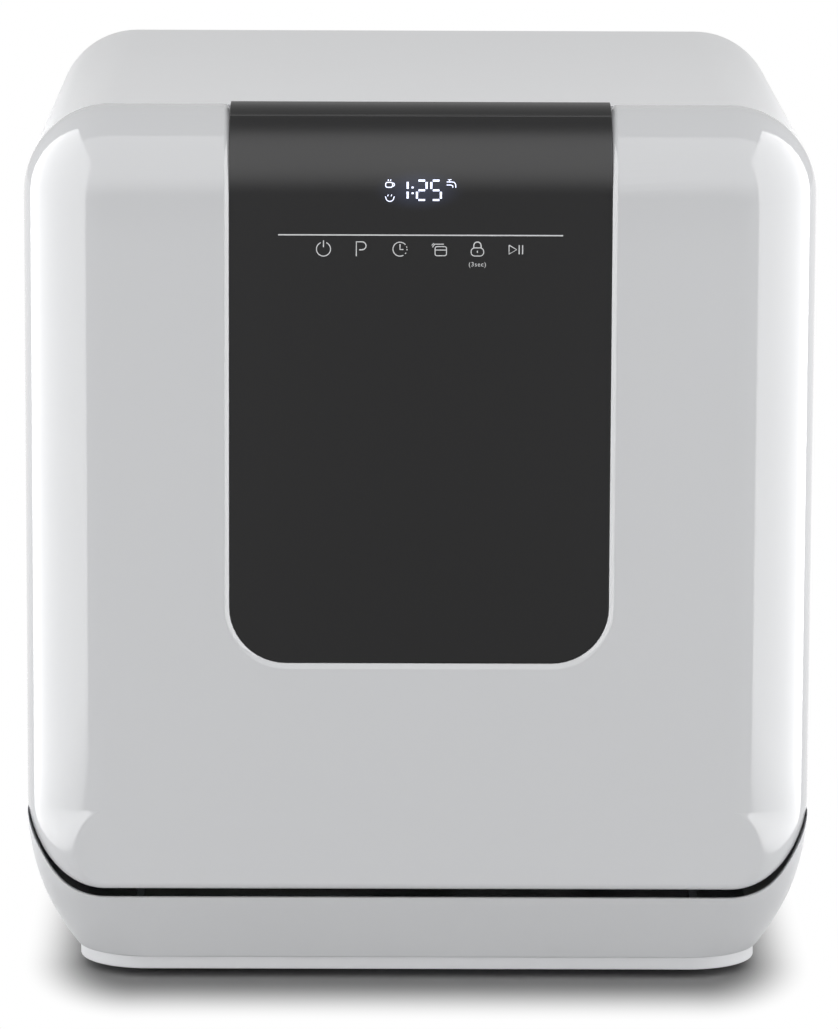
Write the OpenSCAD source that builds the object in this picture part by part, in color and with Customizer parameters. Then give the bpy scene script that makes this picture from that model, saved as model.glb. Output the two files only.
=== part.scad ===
// Countertop dishwasher with a drop-down door, a pull-out rack, two spray arms and a wrap-over control panel.
// Millimetres. X to the right, the door faces -Y, Z is up, and the feet stand on z = 0.

/* [Cabinet] */
// Width over the sides
body_w = 420; // [405:1:440]
// Depth from the door's face to the rear
body_d = 435; // [420:1:460]
// Height over the feet
body_h = 465; // [455:1:490]
// Radius of the two top corners, seen from the front
crown_r = 46; // [40:1:50]
// Radius that draws the lower sides in, seen from the front
flank_r = 128; // [110:1:150]
// Height at which the lower sides start to draw in
flank_z = 90; // [84:1:100]
// Wall of the outer case
case_wall = 2; // [1.5:0.1:3]

/* [Base] */
// Height of the base tray's underside
base_low = 11.4; // [9:0.1:13]
// Top edge of the base tray's front
base_top = 45.3; // [42:0.1:47]
// Wall of the base tray
base_wall = 3; // [2:0.1:3.2]
// Radius of the tray's front corners, seen from above
base_corner_r = 38; // [30:1:44]
// How far the tray's front face leans in at its foot
base_lean = 5.5; // [2:0.5:8]
// Underside of the plinth
plinth_low = 4.5; // [4:0.1:6]
// Radius of a foot
foot_r = 14; // [10:1:17]

/* [Door] */
// Thickness of the door
door_t = 52.5; // [50:0.5:55]
// Radius of the door's roll at its top and sides
roll_r = 44; // [36:1:44]
// Radius along the door's bottom edge
lip_r = 4; // [3:0.5:6]
// Radius of the door's lower corners, seen from the front
door_corner_r = 43; // [36:1:46]
// Gap between the door's bottom edge and the base
door_gap = 4.3; // [4:0.1:6]
// Gap between the door and the case
seam_gap = 1.5; // [1.3:0.1:3]
// Wall of the door's outer shell
door_wall = 3.6; // [3.2:0.1:4]
// Hinge axis behind the door's face
pivot_back = 7.5; // [7.4:0.1:8]
// Hinge axis above the door's bottom edge
pivot_up = 8; // [7.6:0.1:8.4]
// Distance of each hinge from the side of the body
hinge_in = 60; // [54:1:70]

/* [Control panel] */
// Width of the panel
panel_w = 200; // [180:1:220]
// Height of the panel's lower edge
panel_low = 173.5; // [150:1:200]
// Radius of the panel's lower corners
panel_corner_r = 30; // [20:1:40]
// Thickness of the panel
panel_t = 2; // [1.8:0.1:2.2]
// How far the panel's front lies behind the door's face
panel_sink = 0.8; // [0:0.1:0.9]
// How far the panel rises over the door's top
panel_rise = 1.4; // [0.8:0.1:1.6]
// Angle round the top roll at which the grip groove lies
grip_angle = 26; // [20:0.5:32]
// Radius of the grip groove
grip_r = 1.2; // [1:0.1:1.5]

/* [Tub] */
// Distance from the side of the body to the tub's inner wall
tub_side = 38; // [37:0.5:44]
// Inner floor of the tub
tub_floor = 102; // [101:0.5:104]
// Distance from the top of the body to the tub's inner ceiling
tub_drop = 23; // [22:0.5:29]
// Distance from the rear of the body to the tub's inner rear wall
tub_behind = 52.5; // [50:0.5:58]
// Corner radius of the tub, inside
tub_r = 26; // [15:1:30]
// Wall of the tub
tub_wall = 1.5; // [1:0.1:2]

/* [Rack] */
// Distance from the tub's side wall to the rack
rack_side = 18; // [16:0.5:26]
// Distance from the tub's front edge to the rack
rack_ahead = 17.5; // [15.5:0.5:22]
// Distance from the tub's rear wall to the rack
rack_behind = 17; // [16:0.5:25]
// Underside of the rack's floor wires
rack_low = 130; // [129:0.5:134]
// Height of the rack's walls
rack_h = 108; // [90:1:115]
// Diameter of the rack's wire
wire_d = 3; // [2.6:0.1:3.6]
// Spacing of the floor wires
wire_pitch = 28; // [24:1:34]
// Length of a plate tine
tine_h = 62; // [45:1:70]

/* [Water works] */
// Distance from the lower spray arm's tip to the nearest wall
low_arm_gap = 6; // [5:0.5:20]
// Distance from the upper spray arm's tip to the nearest wall
top_arm_gap = 16.5; // [6:0.5:40]
// Width of a spray arm
arm_w = 30; // [26:1:36]
// Radius of the spray arms' spigots
spigot_r = 9; // [8:0.5:11]
// Running clearance of every turning fit, on the radius
run_fit = 0.05; // [0.02:0.01:0.08]
// Radius of the filter cup
filter_r = 27; // [24:1:30]
// Radius of the water inlet's thread, three-quarter inch
inlet_r = 13.2; // [12.5:0.1:14]
// Radius of the drain spigot
drain_r = 9.5; // [8.5:0.5:11]

/* [Hidden] */
$fn = 48;

front_y = -body_d / 2;
rear_y = body_d / 2;
half_w = body_w / 2;
seam_y = front_y + door_t;
case_y = seam_y + seam_gap;
door_low = base_top + door_gap;
// Centre of the roll, seen from the side, and of the door's lower corners, seen from the front
roll_z = body_h - roll_r;
corner_x = half_w - door_corner_r;
corner_z = door_low + door_corner_r;
pivot_y = front_y + pivot_back;
pivot_z = door_low + pivot_up;
hinge_x = half_w - hinge_in;
tub_half_w = half_w - tub_side;
tub_ceiling = body_h - tub_drop;
tub_rear = rear_y - tub_behind;
// A hair of overlap where a cut passes a face
eps = 0.5;

// ---------- shapes that repeat ----------

// Extrudes an XZ outline along Y, from y0 to y1
module along_y(y0, y1) {
    translate([0, y1, 0])
        rotate([90, 0, 0])
            linear_extrude(y1 - y0)
                children();
}

// Extrudes a YZ outline along X, from x0 to x1
module along_x(x0, x1) {
    translate([x0, 0, 0])
        rotate([90, 0, 90])
            linear_extrude(x1 - x0)
                children();
}

// Extrudes an XY outline along Z, from z0 to z1
module along_z(z0, z1) {
    translate([0, 0, z0])
        linear_extrude(z1 - z0)
            children();
}

// Rectangle from corner a to corner b with corners of radius r
module rounded(a, b, r) {
    translate([a[0] + r, a[1]])
        square([b[0] - a[0] - 2 * r, b[1] - a[1]]);
    translate([a[0], a[1] + r])
        square([b[0] - a[0], b[1] - a[1] - 2 * r]);
    for (x = [a[0] + r, b[0] - r], y = [a[1] + r, b[1] - r])
        translate([x, y])
            circle(r);
}

// Front outline of the whole body, drawn in by inset on every side
module body_outline(inset = 0) {
    intersection() {
        union() {
            rounded([-half_w + inset, flank_z], [half_w - inset, body_h - inset], crown_r - inset);
            translate([-half_w + inset, flank_z])
                square([body_w - 2 * inset, crown_r]);
            for (side = [-1, 1])
                translate([side * (half_w - flank_r), flank_z])
                    circle(flank_r - inset, $fn = 96);
            translate([flank_r - half_w, base_low + inset])
                square([body_w - 2 * flank_r, flank_z - base_low]);
        }
        translate([-half_w, base_low + inset])
            square([body_w, body_h]);
    }
}

// Outline that the case, and with a larger inset the door, fills above the base
module upper_outline(grow) {
    hull_r = door_corner_r + grow;
    translate([-corner_x, door_low - grow])
        square([2 * corner_x, body_h]);
    translate([-corner_x - hull_r, corner_z])
        square([2 * (corner_x + hull_r), body_h]);
    for (side = [-1, 1])
        translate([side * corner_x, corner_z])
            circle(hull_r);
}

// Round bar between two points, each [x, y, z]
module bar(from, to, r, sides = 8) {
    run = to - from;
    len = norm(run);
    translate(from)
        rotate([0, acos(run[2] / len), atan2(run[1], run[0])])
            rotate(180 / sides)
                cylinder(len, r, r, $fn = sides);
}

// ---------- base ----------

tray_floor = base_low + base_wall;

base_steps = 8;
lean_levels = 5;
horn_levels = 4;

// Half width of the body at height z, where the lower sides draw in
function flank_half(z) = half_w - flank_r + sqrt(pow(flank_r, 2) - pow(max(flank_z - z, 0), 2));

// How far the base's front face leans in at height z
function lean_at(z) = base_lean * max(base_top - z, 0) / (base_top - base_low);

// Plan ring of the base at height z: rounded at the front, square at the rear
function base_ring(z, inset, rear) =
    let (hw = flank_half(z) - inset, fy = front_y + lean_at(z) + inset, r = base_corner_r - inset)
    concat(
        [for (i = [0:base_steps])
            let (turn = 90 * i / base_steps)
            [hw - r + r * sin(turn), fy + r - r * cos(turn), z]],
        [[hw, rear, z], [-hw, rear, z]],
        [for (i = [0:base_steps])
            let (turn = 90 * i / base_steps)
            [-hw + r - r * cos(turn), fy + r - r * sin(turn), z]]
    );

// Solid whose plan rings run from z0 past the front's top edge to z1
module base_loft(z0, z1, inset, rear) {
    levels = concat(
        [for (i = [0:lean_levels]) z0 + (base_top - z0) * i / lean_levels],
        [for (i = [1:horn_levels]) base_top + (z1 - base_top) * i / horn_levels]
    );
    n = 2 * base_steps + 4;
    rows = len(levels);
    polyhedron(
        [for (z = levels) each base_ring(z, inset, rear)],
        concat(
            [[for (j = [0:n - 1]) j]],
            [for (i = [0:rows - 2], j = [0:n - 1])
                let (k = (j + 1) % n)
                [i * n + j, (i + 1) * n + j, (i + 1) * n + k, i * n + k]],
            [[for (j = [0:n - 1]) rows * n - 1 - j]]
        ),
        convexity = 4
    );
}

module base_tray() {
    color("whitesmoke")
        difference() {
            base_loft(base_low, flank_z, 0, rear_y);
            base_loft(tray_floor, flank_z + eps, base_wall, rear_y - base_wall);
            along_y(front_y - eps, rear_y + eps)
                upper_outline(door_gap);
        }
}

// The base's underside is narrower than its top, because the lower sides draw in
plinth_inset = 1.2;
plinth_half_w = flank_half(base_low) - plinth_inset;
plinth_front = front_y + base_lean + plinth_inset;
plinth_floor = 2;

module plinth_plan(inset) {
    intersection() {
        rounded([-plinth_half_w + inset, plinth_front + inset], [plinth_half_w - inset, rear_y + body_d / 2],
                base_corner_r - plinth_inset - inset);
        translate([-half_w, front_y])
            square([body_w, body_d - plinth_inset - inset]);
    }
}

module plinth() {
    color("gainsboro")
        difference() {
            along_z(plinth_low, base_low)
                plinth_plan(0);
            along_z(plinth_low + plinth_floor, base_low + eps)
                plinth_plan(base_wall);
            for (x = [-1, 1], y = [-1, 1])
                translate([x * foot_x, y * foot_y, plinth_low - eps])
                    cylinder(plinth_floor, foot_stem_r + 0.1, foot_stem_r + 0.1);
        }
}

foot_x = half_w - 60;
foot_y = rear_y - 52.5;
foot_stem_r = 5;

module feet() {
    color("dimgray")
        for (x = [-1, 1], y = [-1, 1])
            translate([x * foot_x, y * foot_y, 0])
                rotate_extrude()
                    polygon([
                        [0, 0],
                        [foot_r - 1, 0],
                        [foot_r, 1],
                        [foot_r - 1, plinth_low],
                        [foot_stem_r, plinth_low],
                        [foot_stem_r, plinth_low + plinth_floor - eps],
                        [0, plinth_low + plinth_floor - eps]
                    ]);
}

// ---------- case ----------

case_flange = 12;
rear_panel_t = 1.5;
rear_recess = 4;
panel_back_y = rear_y - rear_recess;

module case_outline(inset) {
    intersection() {
        body_outline(inset);
        upper_outline(door_gap - inset);
    }
}

module case_shell() {
    color("whitesmoke")
        difference() {
            union() {
                along_y(case_y, rear_y)
                    difference() {
                        case_outline(0);
                        case_outline(case_wall);
                    }
                // turned-in flange at the front edge
                along_y(case_y, case_y + case_wall)
                    difference() {
                        case_outline(case_wall / 2);
                        case_outline(case_flange);
                    }
                // ledge that the rear panel screws to
                along_y(panel_back_y - rear_panel_t - case_wall, panel_back_y - rear_panel_t)
                    difference() {
                        case_outline(case_wall / 2);
                        case_outline(case_flange);
                    }
            }
            latch_slot(case_y - eps, case_y + case_wall + eps);
            // the case is open underneath, between its turned-in feet
            translate([-corner_x, case_y - eps, 0])
                cube([2 * corner_x, body_d, door_low + case_flange]);
        }
}

// Pocket in the rear panel that holds the water connections
pocket_x0 = -140;
pocket_x1 = 60;
pocket_z0 = 56;
pocket_z1 = 112;
pocket_depth = 30;
inlet_x = -105;
drain_x = -40;
gland_x = 25;
port_z = 84;
pocket_y = panel_back_y - pocket_depth;
screw_in = 7.5;
screw_xs = [screw_in - half_w, half_w - screw_in];
screw_low = 130;
screw_drop = 75;
screw_zs = [screw_low, (screw_low + body_h - screw_drop) / 2, body_h - screw_drop];
screw_r = 2;

module rear_panel() {
    color("gainsboro")
        difference() {
            union() {
                along_y(panel_back_y - rear_panel_t, panel_back_y)
                    intersection() {
                        case_outline(case_wall + 0.3);
                        translate([-half_w, door_low])
                            square([body_w, body_h]);
                    }
                along_y(pocket_y - rear_panel_t, panel_back_y - rear_panel_t / 2)
                    rounded([pocket_x0 - rear_panel_t, pocket_z0 - rear_panel_t],
                            [pocket_x1 + rear_panel_t, pocket_z1 + rear_panel_t], 7);
            }
            along_y(pocket_y, rear_y)
                rounded([pocket_x0, pocket_z0], [pocket_x1, pocket_z1], 6);
            for (x = [inlet_x, drain_x, gland_x])
                translate([x, pocket_y + eps, port_z])
                    rotate([90, 0, 0])
                        cylinder(rear_panel_t + 2 * eps, port_hole_r, port_hole_r);
            // louvres of the drying fan's outlet
            for (z = [0:10:50])
                along_y(panel_back_y - 2 * rear_panel_t, rear_y)
                    rounded([vent_x - 30, vent_z + z], [vent_x + 30, vent_z + z + 4], 2);
            for (x = screw_xs, z = screw_zs)
                translate([x, panel_back_y + eps, z])
                    rotate([90, 0, 0])
                        cylinder(rear_panel_t + 2 * eps, screw_r + 0.1, screw_r + 0.1);
        }
}

port_hole_r = 12;
vent_x = 110;
vent_z = 300;

module rear_screws() {
    color("silver")
        for (x = screw_xs, z = screw_zs)
            translate([x, panel_back_y, z])
                rotate([-90, 0, 0])
                    difference() {
                        union() {
                            cylinder(1.6, 3.6, 3);
                            translate([0, 0, -rear_panel_t])
                                cylinder(rear_panel_t + eps, screw_r, screw_r);
                        }
                        for (turn = [0, 90])
                            rotate([0, 0, turn])
                                translate([-2, -0.4, 0.8])
                                    cube([4, 0.8, 2]);
                    }
}

// ---------- tub ----------

tub_front = case_y + case_wall;
flange_t = 1.5;
flange_low = 66;
sump_x = 0;
sump_back = 8.25;
sump_y = (tub_front + tub_rear) / 2 + sump_back;
sump_hole_r = 30;
plate_half_x = 54;
plate_half_y = 48;
plate_edge = 4;
filter_x = tub_half_w - tub_r - plate_half_x - plate_edge;
filter_y = tub_front + plate_half_y + 31.5;
float_x = 52 - tub_half_w;
float_y = tub_front + 51.5;

module tub_outline(grow) {
    rounded([-tub_half_w - grow, tub_floor - grow], [tub_half_w + grow, tub_ceiling + grow], tub_r + grow);
}

module tub() {
    color("silver")
        difference() {
            union() {
                along_y(tub_front, tub_rear + tub_wall)
                    tub_outline(tub_wall);
                // flange round the mouth, against the case's own
                along_y(tub_front, tub_front + flange_t)
                    intersection() {
                        case_outline(case_wall + 0.3);
                        translate([-half_w, flange_low])
                            square([body_w, body_h]);
                    }
            }
            along_y(tub_front - eps, tub_rear)
                tub_outline(0);
            // sump, filter well and float holes in the floor
            translate([sump_x, sump_y, tub_floor - 2 * tub_wall])
                cylinder(4 * tub_wall, sump_hole_r, sump_hole_r);
            translate([filter_x, filter_y, tub_floor - 2 * tub_wall])
                cylinder(4 * tub_wall, filter_r + well_wall, filter_r + well_wall);
            translate([float_x, float_y, tub_floor - 2 * tub_wall])
                cylinder(4 * tub_wall, float_stem_r + 0.4, float_stem_r + 0.4);
            // slot for the latch's tongue in the flange, and the drying fan's hole in the rear wall
            latch_slot(tub_front - eps, tub_front + flange_t + eps);
            translate([vent_x, tub_rear + 2 * tub_wall, fan_z])
                rotate([90, 0, 0])
                    cylinder(4 * tub_wall, 20, 20);
        }
}

gasket_w = 7;
gasket_out = 0.4;

module tub_gasket() {
    color("dimgray")
        difference() {
            along_y(seam_y + gasket_out, tub_front)
                tub_outline(gasket_w);
            along_y(seam_y - eps, tub_front + eps)
                tub_outline(2);
            // hollow bulb facing the door
            along_y(seam_y + gasket_out + 1, tub_front - 1)
                difference() {
                    tub_outline(gasket_w - 1.2);
                    tub_outline(3.2);
                }
        }
}

rail_z = 166;
rail_h = 14;
rail_reach = 15;
rail_wall = 1.6;
glide_slack = 0.6;

module rack_rails() {
    color("lightgray")
        for (side = [-1, 1])
            mirror([side < 0 ? 1 : 0, 0, 0])
                along_y(tub_front + 6, tub_rear - 2)
                    difference() {
                        translate([tub_half_w - rail_reach, rail_z])
                            square([rail_reach, rail_h]);
                        translate([tub_half_w - rail_reach - eps, rail_z + rail_wall])
                            square([rail_reach - rail_wall + eps, rail_h - 2 * rail_wall]);
                    }
}

// ---------- sump, filter, pumps ----------

well_wall = 2;
well_low = 66;
sump_low = 72;
hub_top = tub_floor + 14;
plate_t = 1;

module sump() {
    color("darkgray")
        difference() {
            union() {
                // centre chamber under the lower arm, with its flange on the tub's floor
                translate([sump_x, sump_y, sump_low])
                    cylinder(tub_floor - sump_low, sump_hole_r, sump_hole_r);
                translate([sump_x, sump_y, tub_floor])
                    cylinder(3, sump_hole_r + 6, sump_hole_r + 6);
                // spigot that the lower arm turns on
                translate([sump_x, sump_y, tub_floor])
                    cylinder(hub_top - tub_floor, spigot_r, spigot_r);
                // channel to the filter well, and the outlet to the wash pump
                bar([sump_x, sump_y, sump_low + 12], [filter_x, filter_y, sump_low + 12], 11, 32);
                bar([sump_x, sump_y, sump_low + 10], [sump_x, sump_y + outlet_l, sump_low + 10], 9, 32);
            }
            translate([sump_x, sump_y, sump_low + well_wall])
                cylinder(tub_floor - sump_low, sump_hole_r - well_wall, sump_hole_r - well_wall);
            translate([sump_x, sump_y, tub_floor - 3])
                cylinder(hub_top, spigot_r - 2.5, spigot_r - 2.5);
            bar([sump_x, sump_y, sump_low + 12], [filter_x, filter_y, sump_low + 12], 8, 32);
            bar([sump_x, sump_y, sump_low + 10], [sump_x, sump_y + outlet_l + 2, sump_low + 10], 7, 32);
            // the channel ends against the filter well
            translate([filter_x, filter_y, 0])
                cylinder(body_h, filter_r + well_wall + run_fit, filter_r + well_wall + run_fit);
        }
}

module filter_well() {
    color("darkgray")
        difference() {
            union() {
                translate([filter_x, filter_y, well_low])
                    cylinder(tub_floor - well_low, filter_r + well_wall, filter_r + well_wall);
                // outlet to the drain pump
                bar([filter_x, filter_y, well_low + 10], [filter_x, filter_y + outlet_l, well_low + 10], 8, 32);
            }
            translate([filter_x, filter_y, well_low + well_wall])
                cylinder(tub_floor, filter_r + run_fit, filter_r + run_fit);
            bar([sump_x, sump_y, sump_low + 12], [filter_x, filter_y, sump_low + 12], 8, 32);
            bar([filter_x, filter_y, well_low + 10], [filter_x, filter_y + outlet_l + 2, well_low + 10], 6, 32);
        }
}

module filter_plate() {
    color("silver")
        difference() {
            translate([0, 0, tub_floor])
                linear_extrude(plate_t)
                    difference() {
                        rounded([filter_x - plate_half_x, filter_y - plate_half_y],
                                [filter_x + plate_half_x, filter_y + plate_half_y], 20);
                        translate([filter_x, filter_y])
                            circle(filter_r + run_fit);
                    }
            translate([sump_x, sump_y, 0])
                cylinder(body_h, sump_hole_r + 6.3, sump_hole_r + 6.3);
            // drain slots
            for (x = [18 - plate_half_x:12:plate_half_x - 18], y = [9 - plate_half_y, plate_half_y - 9])
                translate([filter_x + x, filter_y + y, tub_floor - eps])
                    along_z(0, plate_t + 2 * eps)
                        rounded([-2, -6], [2, 6], 2);
        }
}

cup_rim_r = filter_r + 4;
cup_low = well_low + well_wall + 0.5;
cup_floor_t = 1.5;
cup_sill = 0.5;
cup_window_h = 23.5;

module filter_cup() {
    color("slategray")
        translate([filter_x, filter_y, 0])
            difference() {
                union() {
                    translate([0, 0, cup_low])
                        cylinder(tub_floor - cup_low, filter_r - run_fit, filter_r - run_fit);
                    translate([0, 0, tub_floor + plate_t + 0.1])
                        cylinder(2.4, cup_rim_r, cup_rim_r);
                    translate([0, 0, tub_floor - eps])
                        cylinder(plate_t + 1, filter_r - run_fit, filter_r - run_fit);
                }
                translate([0, 0, cup_low + cup_floor_t])
                    cylinder(body_h, filter_r - 3, filter_r - 3);
                // windows of the mesh wall
                for (turn = [22.5:45:360])
                    rotate([0, 0, turn])
                        translate([filter_r - 6, -6, cup_low + cup_floor_t + cup_sill])
                            cube([12, 12, cup_window_h]);
            }
    // grip bar across the cup
    color("slategray")
        translate([filter_x - cup_rim_r + 2, filter_y - 2, tub_floor + plate_t + 0.1])
            cube([2 * cup_rim_r - 4, 4, 6]);
}

pump_collar = 4;
pump_tail = 5;

// A pump is a wet end and a motor on one axis along Y
module pump(x, y, z, wet_r, wet_l, motor_r, motor_l) {
    translate([x, y, z])
        rotate([-90, 0, 0]) {
            cylinder(wet_l, wet_r, wet_r);
            translate([0, 0, wet_l])
                cylinder(pump_collar, wet_r + 3, wet_r + 3);
            translate([0, 0, wet_l + pump_collar])
                cylinder(motor_l, motor_r, motor_r);
            translate([0, 0, wet_l + pump_collar + motor_l])
                cylinder(pump_tail, motor_r * 0.5, motor_r * 0.5);
        }
}

outlet_l = 48;
wash_wet_r = 26;
wash_wet_l = 22;
wash_motor_r = 22;
wash_motor_l = 44;
wash_z = 50;
leg_t = 5;
wash_leg_w = 24;
drain_wet_r = 20;
drain_wet_l = 16;
drain_motor_r = 17;
drain_motor_l = 30;
drain_aside = 14;
drain_leg_w = 20;
pump_y = sump_y + outlet_l;
pump_z = sump_low + 10;

module wash_pump() {
    color("dimgray") {
        pump(sump_x, pump_y, wash_z, wash_wet_r, wash_wet_l, wash_motor_r, wash_motor_l);
        // legs down to the tray's floor
        for (dy = [wash_wet_l - 10, wash_wet_l + wash_motor_l - 6])
            translate([sump_x - wash_leg_w / 2, pump_y + dy, tray_floor])
                cube([wash_leg_w, leg_t, wash_z - tray_floor - 10]);
        // socket that takes the sump's outlet
        translate([sump_x, pump_y, pump_z])
            rotate([-90, 0, 0])
                cylinder(10, 11, 11);
    }
}

module drain_pump() {
    drain_z = well_low + 10 - drain_aside;
    color("dimgray") {
        pump(filter_x + drain_aside, filter_y + outlet_l, drain_z, drain_wet_r, drain_wet_l, drain_motor_r, drain_motor_l);
        for (dy = [6, drain_wet_l + pump_collar + drain_motor_l - 12])
            translate([filter_x + drain_aside - drain_leg_w / 2, filter_y + outlet_l + dy, tray_floor])
                cube([drain_leg_w, leg_t, drain_z - 14 - tray_floor]);
        translate([filter_x, filter_y + outlet_l, well_low + 10])
            rotate([-90, 0, 0])
                cylinder(8, 10, 10);
    }
}

heater_x = 100 - half_w;
heater_y = sump_y - 70;
heater_l = 150;
heater_r = 18;
heater_bore_r = 15;
heater_up = 30;
saddle_w = 32;
saddle_l = 8;
saddle_h = 26;
saddle_in = 20;

module flow_heater() {
    color("silver")
        translate([heater_x, heater_y, tray_floor]) {
            // heating tube on two saddles
            translate([0, 0, heater_up])
                rotate([-90, 0, 0])
                    difference() {
                        cylinder(heater_l, heater_r, heater_r);
                        translate([0, 0, -1])
                            cylinder(heater_l + 2, heater_bore_r, heater_bore_r);
                    }
            for (dy = [saddle_in, heater_l - saddle_in - saddle_l])
                translate([-saddle_w / 2, dy, 0])
                    difference() {
                        cube([saddle_w, saddle_l, saddle_h]);
                        translate([saddle_w / 2, -1, heater_up])
                            rotate([-90, 0, 0])
                                cylinder(saddle_l + 2, heater_r - eps, heater_r - eps);
                    }
        }
}

tank_gap = 1.2;
tank_lug = 11.3;
tank_t = tub_side - case_wall - tub_wall - tank_gap - tank_lug;
tank_x = case_wall + tank_gap - half_w;
tank_y0 = case_y + 43.5;
tank_y1 = tub_rear - 15;
tank_z0 = tub_floor + 8;
tank_z1 = tub_ceiling - 32;
tank_r = 16;
lug_l = 12;
lug_h = 8;
channel_pitch = 50;
channel_h = 6;
channel_deep = 2;

module air_break_tank() {
    color("lightsteelblue")
        difference() {
            along_x(tank_x, tank_x + tank_t)
                rounded([tank_y0, tank_z0], [tank_y1, tank_z1], tank_r);
            // moulded channels on the flat side
            for (z = [tank_z0 + 2.5 * tank_r:channel_pitch:tank_z1 - 2.5 * tank_r])
                translate([tank_x + tank_t - channel_deep, tank_y0 + 20, z])
                    cube([channel_deep + 1, tank_y1 - tank_y0 - 50, channel_h]);
        }
    // lugs that stand the tank off the tub's side
    color("lightsteelblue")
        for (z = [tank_z0 + tank_r + 1, tank_z1 - tank_r - lug_h + 1], y = [tank_y0 + 30, tank_y1 - 40])
            translate([tank_x + tank_t - eps, y, z])
                cube([tank_lug + eps, lug_l, lug_h]);
}

// ---------- connections at the rear ----------

inlet_l = 20;
inlet_bore_r = 9.7;
valve_l = 26;
coil_r = 11;
coil_l = 26;
coil_down = 34;

module inlet_valve() {
    color("gray") {
        translate([inlet_x, pocket_y, port_z])
            rotate([-90, 0, 0])
                difference() {
                    union() {
                        cylinder(inlet_l, inlet_r, inlet_r);
                        cylinder(3, inlet_r + 4, inlet_r + 4);
                        translate([0, 0, -valve_l])
                            cylinder(valve_l + eps, port_hole_r - 0.1, port_hole_r - 0.1);
                    }
                    translate([0, 0, 4])
                        cylinder(inlet_l, inlet_bore_r, inlet_bore_r);
                }
        // coil on the valve's body
        translate([inlet_x, pocket_y - valve_l + 4, port_z - coil_down])
            cylinder(coil_l, coil_r, coil_r);
    }
}

spigot_l = 22;
spigot_tail = 30;

module drain_spigot() {
    color("dimgray")
        translate([drain_x, pocket_y, port_z])
            rotate([-90, 0, 0])
                difference() {
                    union() {
                        cylinder(spigot_l, drain_r, drain_r);
                        cylinder(3, drain_r + 6, drain_r + 6);
                        translate([0, 0, -spigot_tail])
                            cylinder(spigot_tail + eps, port_hole_r - 0.1, port_hole_r - 0.1);
                    }
                    translate([0, 0, -spigot_tail - 1])
                        cylinder(spigot_l + spigot_tail + 2, drain_r - 2.5, drain_r - 2.5);
                }
}

module cord_gland() {
    color("dimgray")
        translate([gland_x, pocket_y, port_z])
            rotate([-90, 0, 0])
                difference() {
                    union() {
                        cylinder(4, port_hole_r + 3, port_hole_r + 3);
                        translate([0, 0, 4])
                            cylinder(8, 8, 6);
                        translate([0, 0, -6])
                            cylinder(6 + eps, port_hole_r - 0.1, port_hole_r - 0.1);
                    }
                    translate([0, 0, -7])
                        cylinder(30, 3.6, 3.6);
                }
}

feed_r = 6.5;
feed_y = tub_rear - feed_r - 0.5;
top_z = tub_ceiling - 14;
pipe_clip_w = 24;
pipe_clip_drop = 142;

module upper_feed_pipe() {
    color("lightgray") {
        difference() {
            union() {
                // riser up the rear wall, run under the ceiling, and the spigot of the upper arm
                bar([sump_x, feed_y, tub_floor + 1], [sump_x, feed_y, top_z], feed_r, 32);
                bar([sump_x, feed_y + feed_r, top_z], [sump_x, sump_y - 12, top_z], feed_r, 32);
                // foot on the tub's floor
                translate([sump_x, feed_y - 2, tub_floor])
                    cylinder(3, feed_r + 1, feed_r + 1);
                bar([sump_x, sump_y, top_arm_z - 4], [sump_x, sump_y, tub_ceiling], spigot_r, 48);
            }
            bar([sump_x, sump_y, top_arm_z - 5], [sump_x, sump_y, top_z], spigot_r - 2.5, 32);
        }
        // clip on the tub's rear wall
        translate([sump_x - pipe_clip_w / 2, tub_rear - 3, tub_ceiling - pipe_clip_drop])
            cube([pipe_clip_w, 3, 10]);
        translate([sump_x, sump_y, top_arm_z - 6])
            cylinder(2, spigot_r + 3, spigot_r + 3);
    }
}

// ---------- spray arms ----------

arm_hub_h = 10;
low_arm_z = tub_floor + 7;
top_arm_z = tub_ceiling - 38;
arm_room = min(tub_half_w, feed_y - feed_r - sump_y, sump_y - tub_front);
low_arm_len = 2 * (arm_room - low_arm_gap);
top_arm_len = 2 * (arm_room - top_arm_gap);

// Arm with tapered, swept-up wings, its jets on the side that faces the dishes
module spray_arm(len, z, jets_up) {
    tip_r = arm_w * 0.32;
    translate([sump_x, sump_y, z])
        difference() {
            union() {
                cylinder(arm_hub_h, spigot_r + 6, spigot_r + 6);
                for (turn = [0, 180])
                    rotate([0, 0, turn])
                        translate([0, 0, arm_hub_h - 8])
                            hull() {
                                cylinder(8, arm_w / 2, arm_w / 2, $fn = 32);
                                translate([len / 2 - tip_r, 0, 0])
                                    cylinder(8, tip_r, tip_r, $fn = 32);
                            }
            }
            translate([0, 0, -1])
                cylinder(arm_hub_h + 2, spigot_r + run_fit, spigot_r + run_fit);
            // jets
            for (turn = [0, 180], k = [1:4])
                rotate([0, 0, turn])
                    translate([20 + k * (len / 2 - 36) / 4, (k % 2 - 0.5) * 5, jets_up ? arm_hub_h - 2.5 : 1.5])
                        translate([0, 0, jets_up ? 0 : -2])
                            cylinder(3, 1.6, 1.6, $fn = 24);
        }
}

module lower_spray_arm() {
    color("gray")
        spray_arm(low_arm_len, low_arm_z, true);
}

module upper_spray_arm() {
    color("gray")
        spray_arm(top_arm_len, top_arm_z, false);
}

// ---------- float, fan ----------

float_stem_r = 5;
float_r = 16;

module float_dome() {
    color("lightgray")
        translate([float_x, float_y, 0])
            rotate_extrude()
                polygon([
                    [0, tub_floor - 20],
                    [float_stem_r - 0.1, tub_floor - 20],
                    [float_stem_r - 0.1, tub_floor + 0.2],
                    [float_r, tub_floor + 0.2],
                    [float_r, tub_floor + 8],
                    [float_r - 4, tub_floor + 13],
                    [0, tub_floor + 15]
                ]);
}

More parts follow.
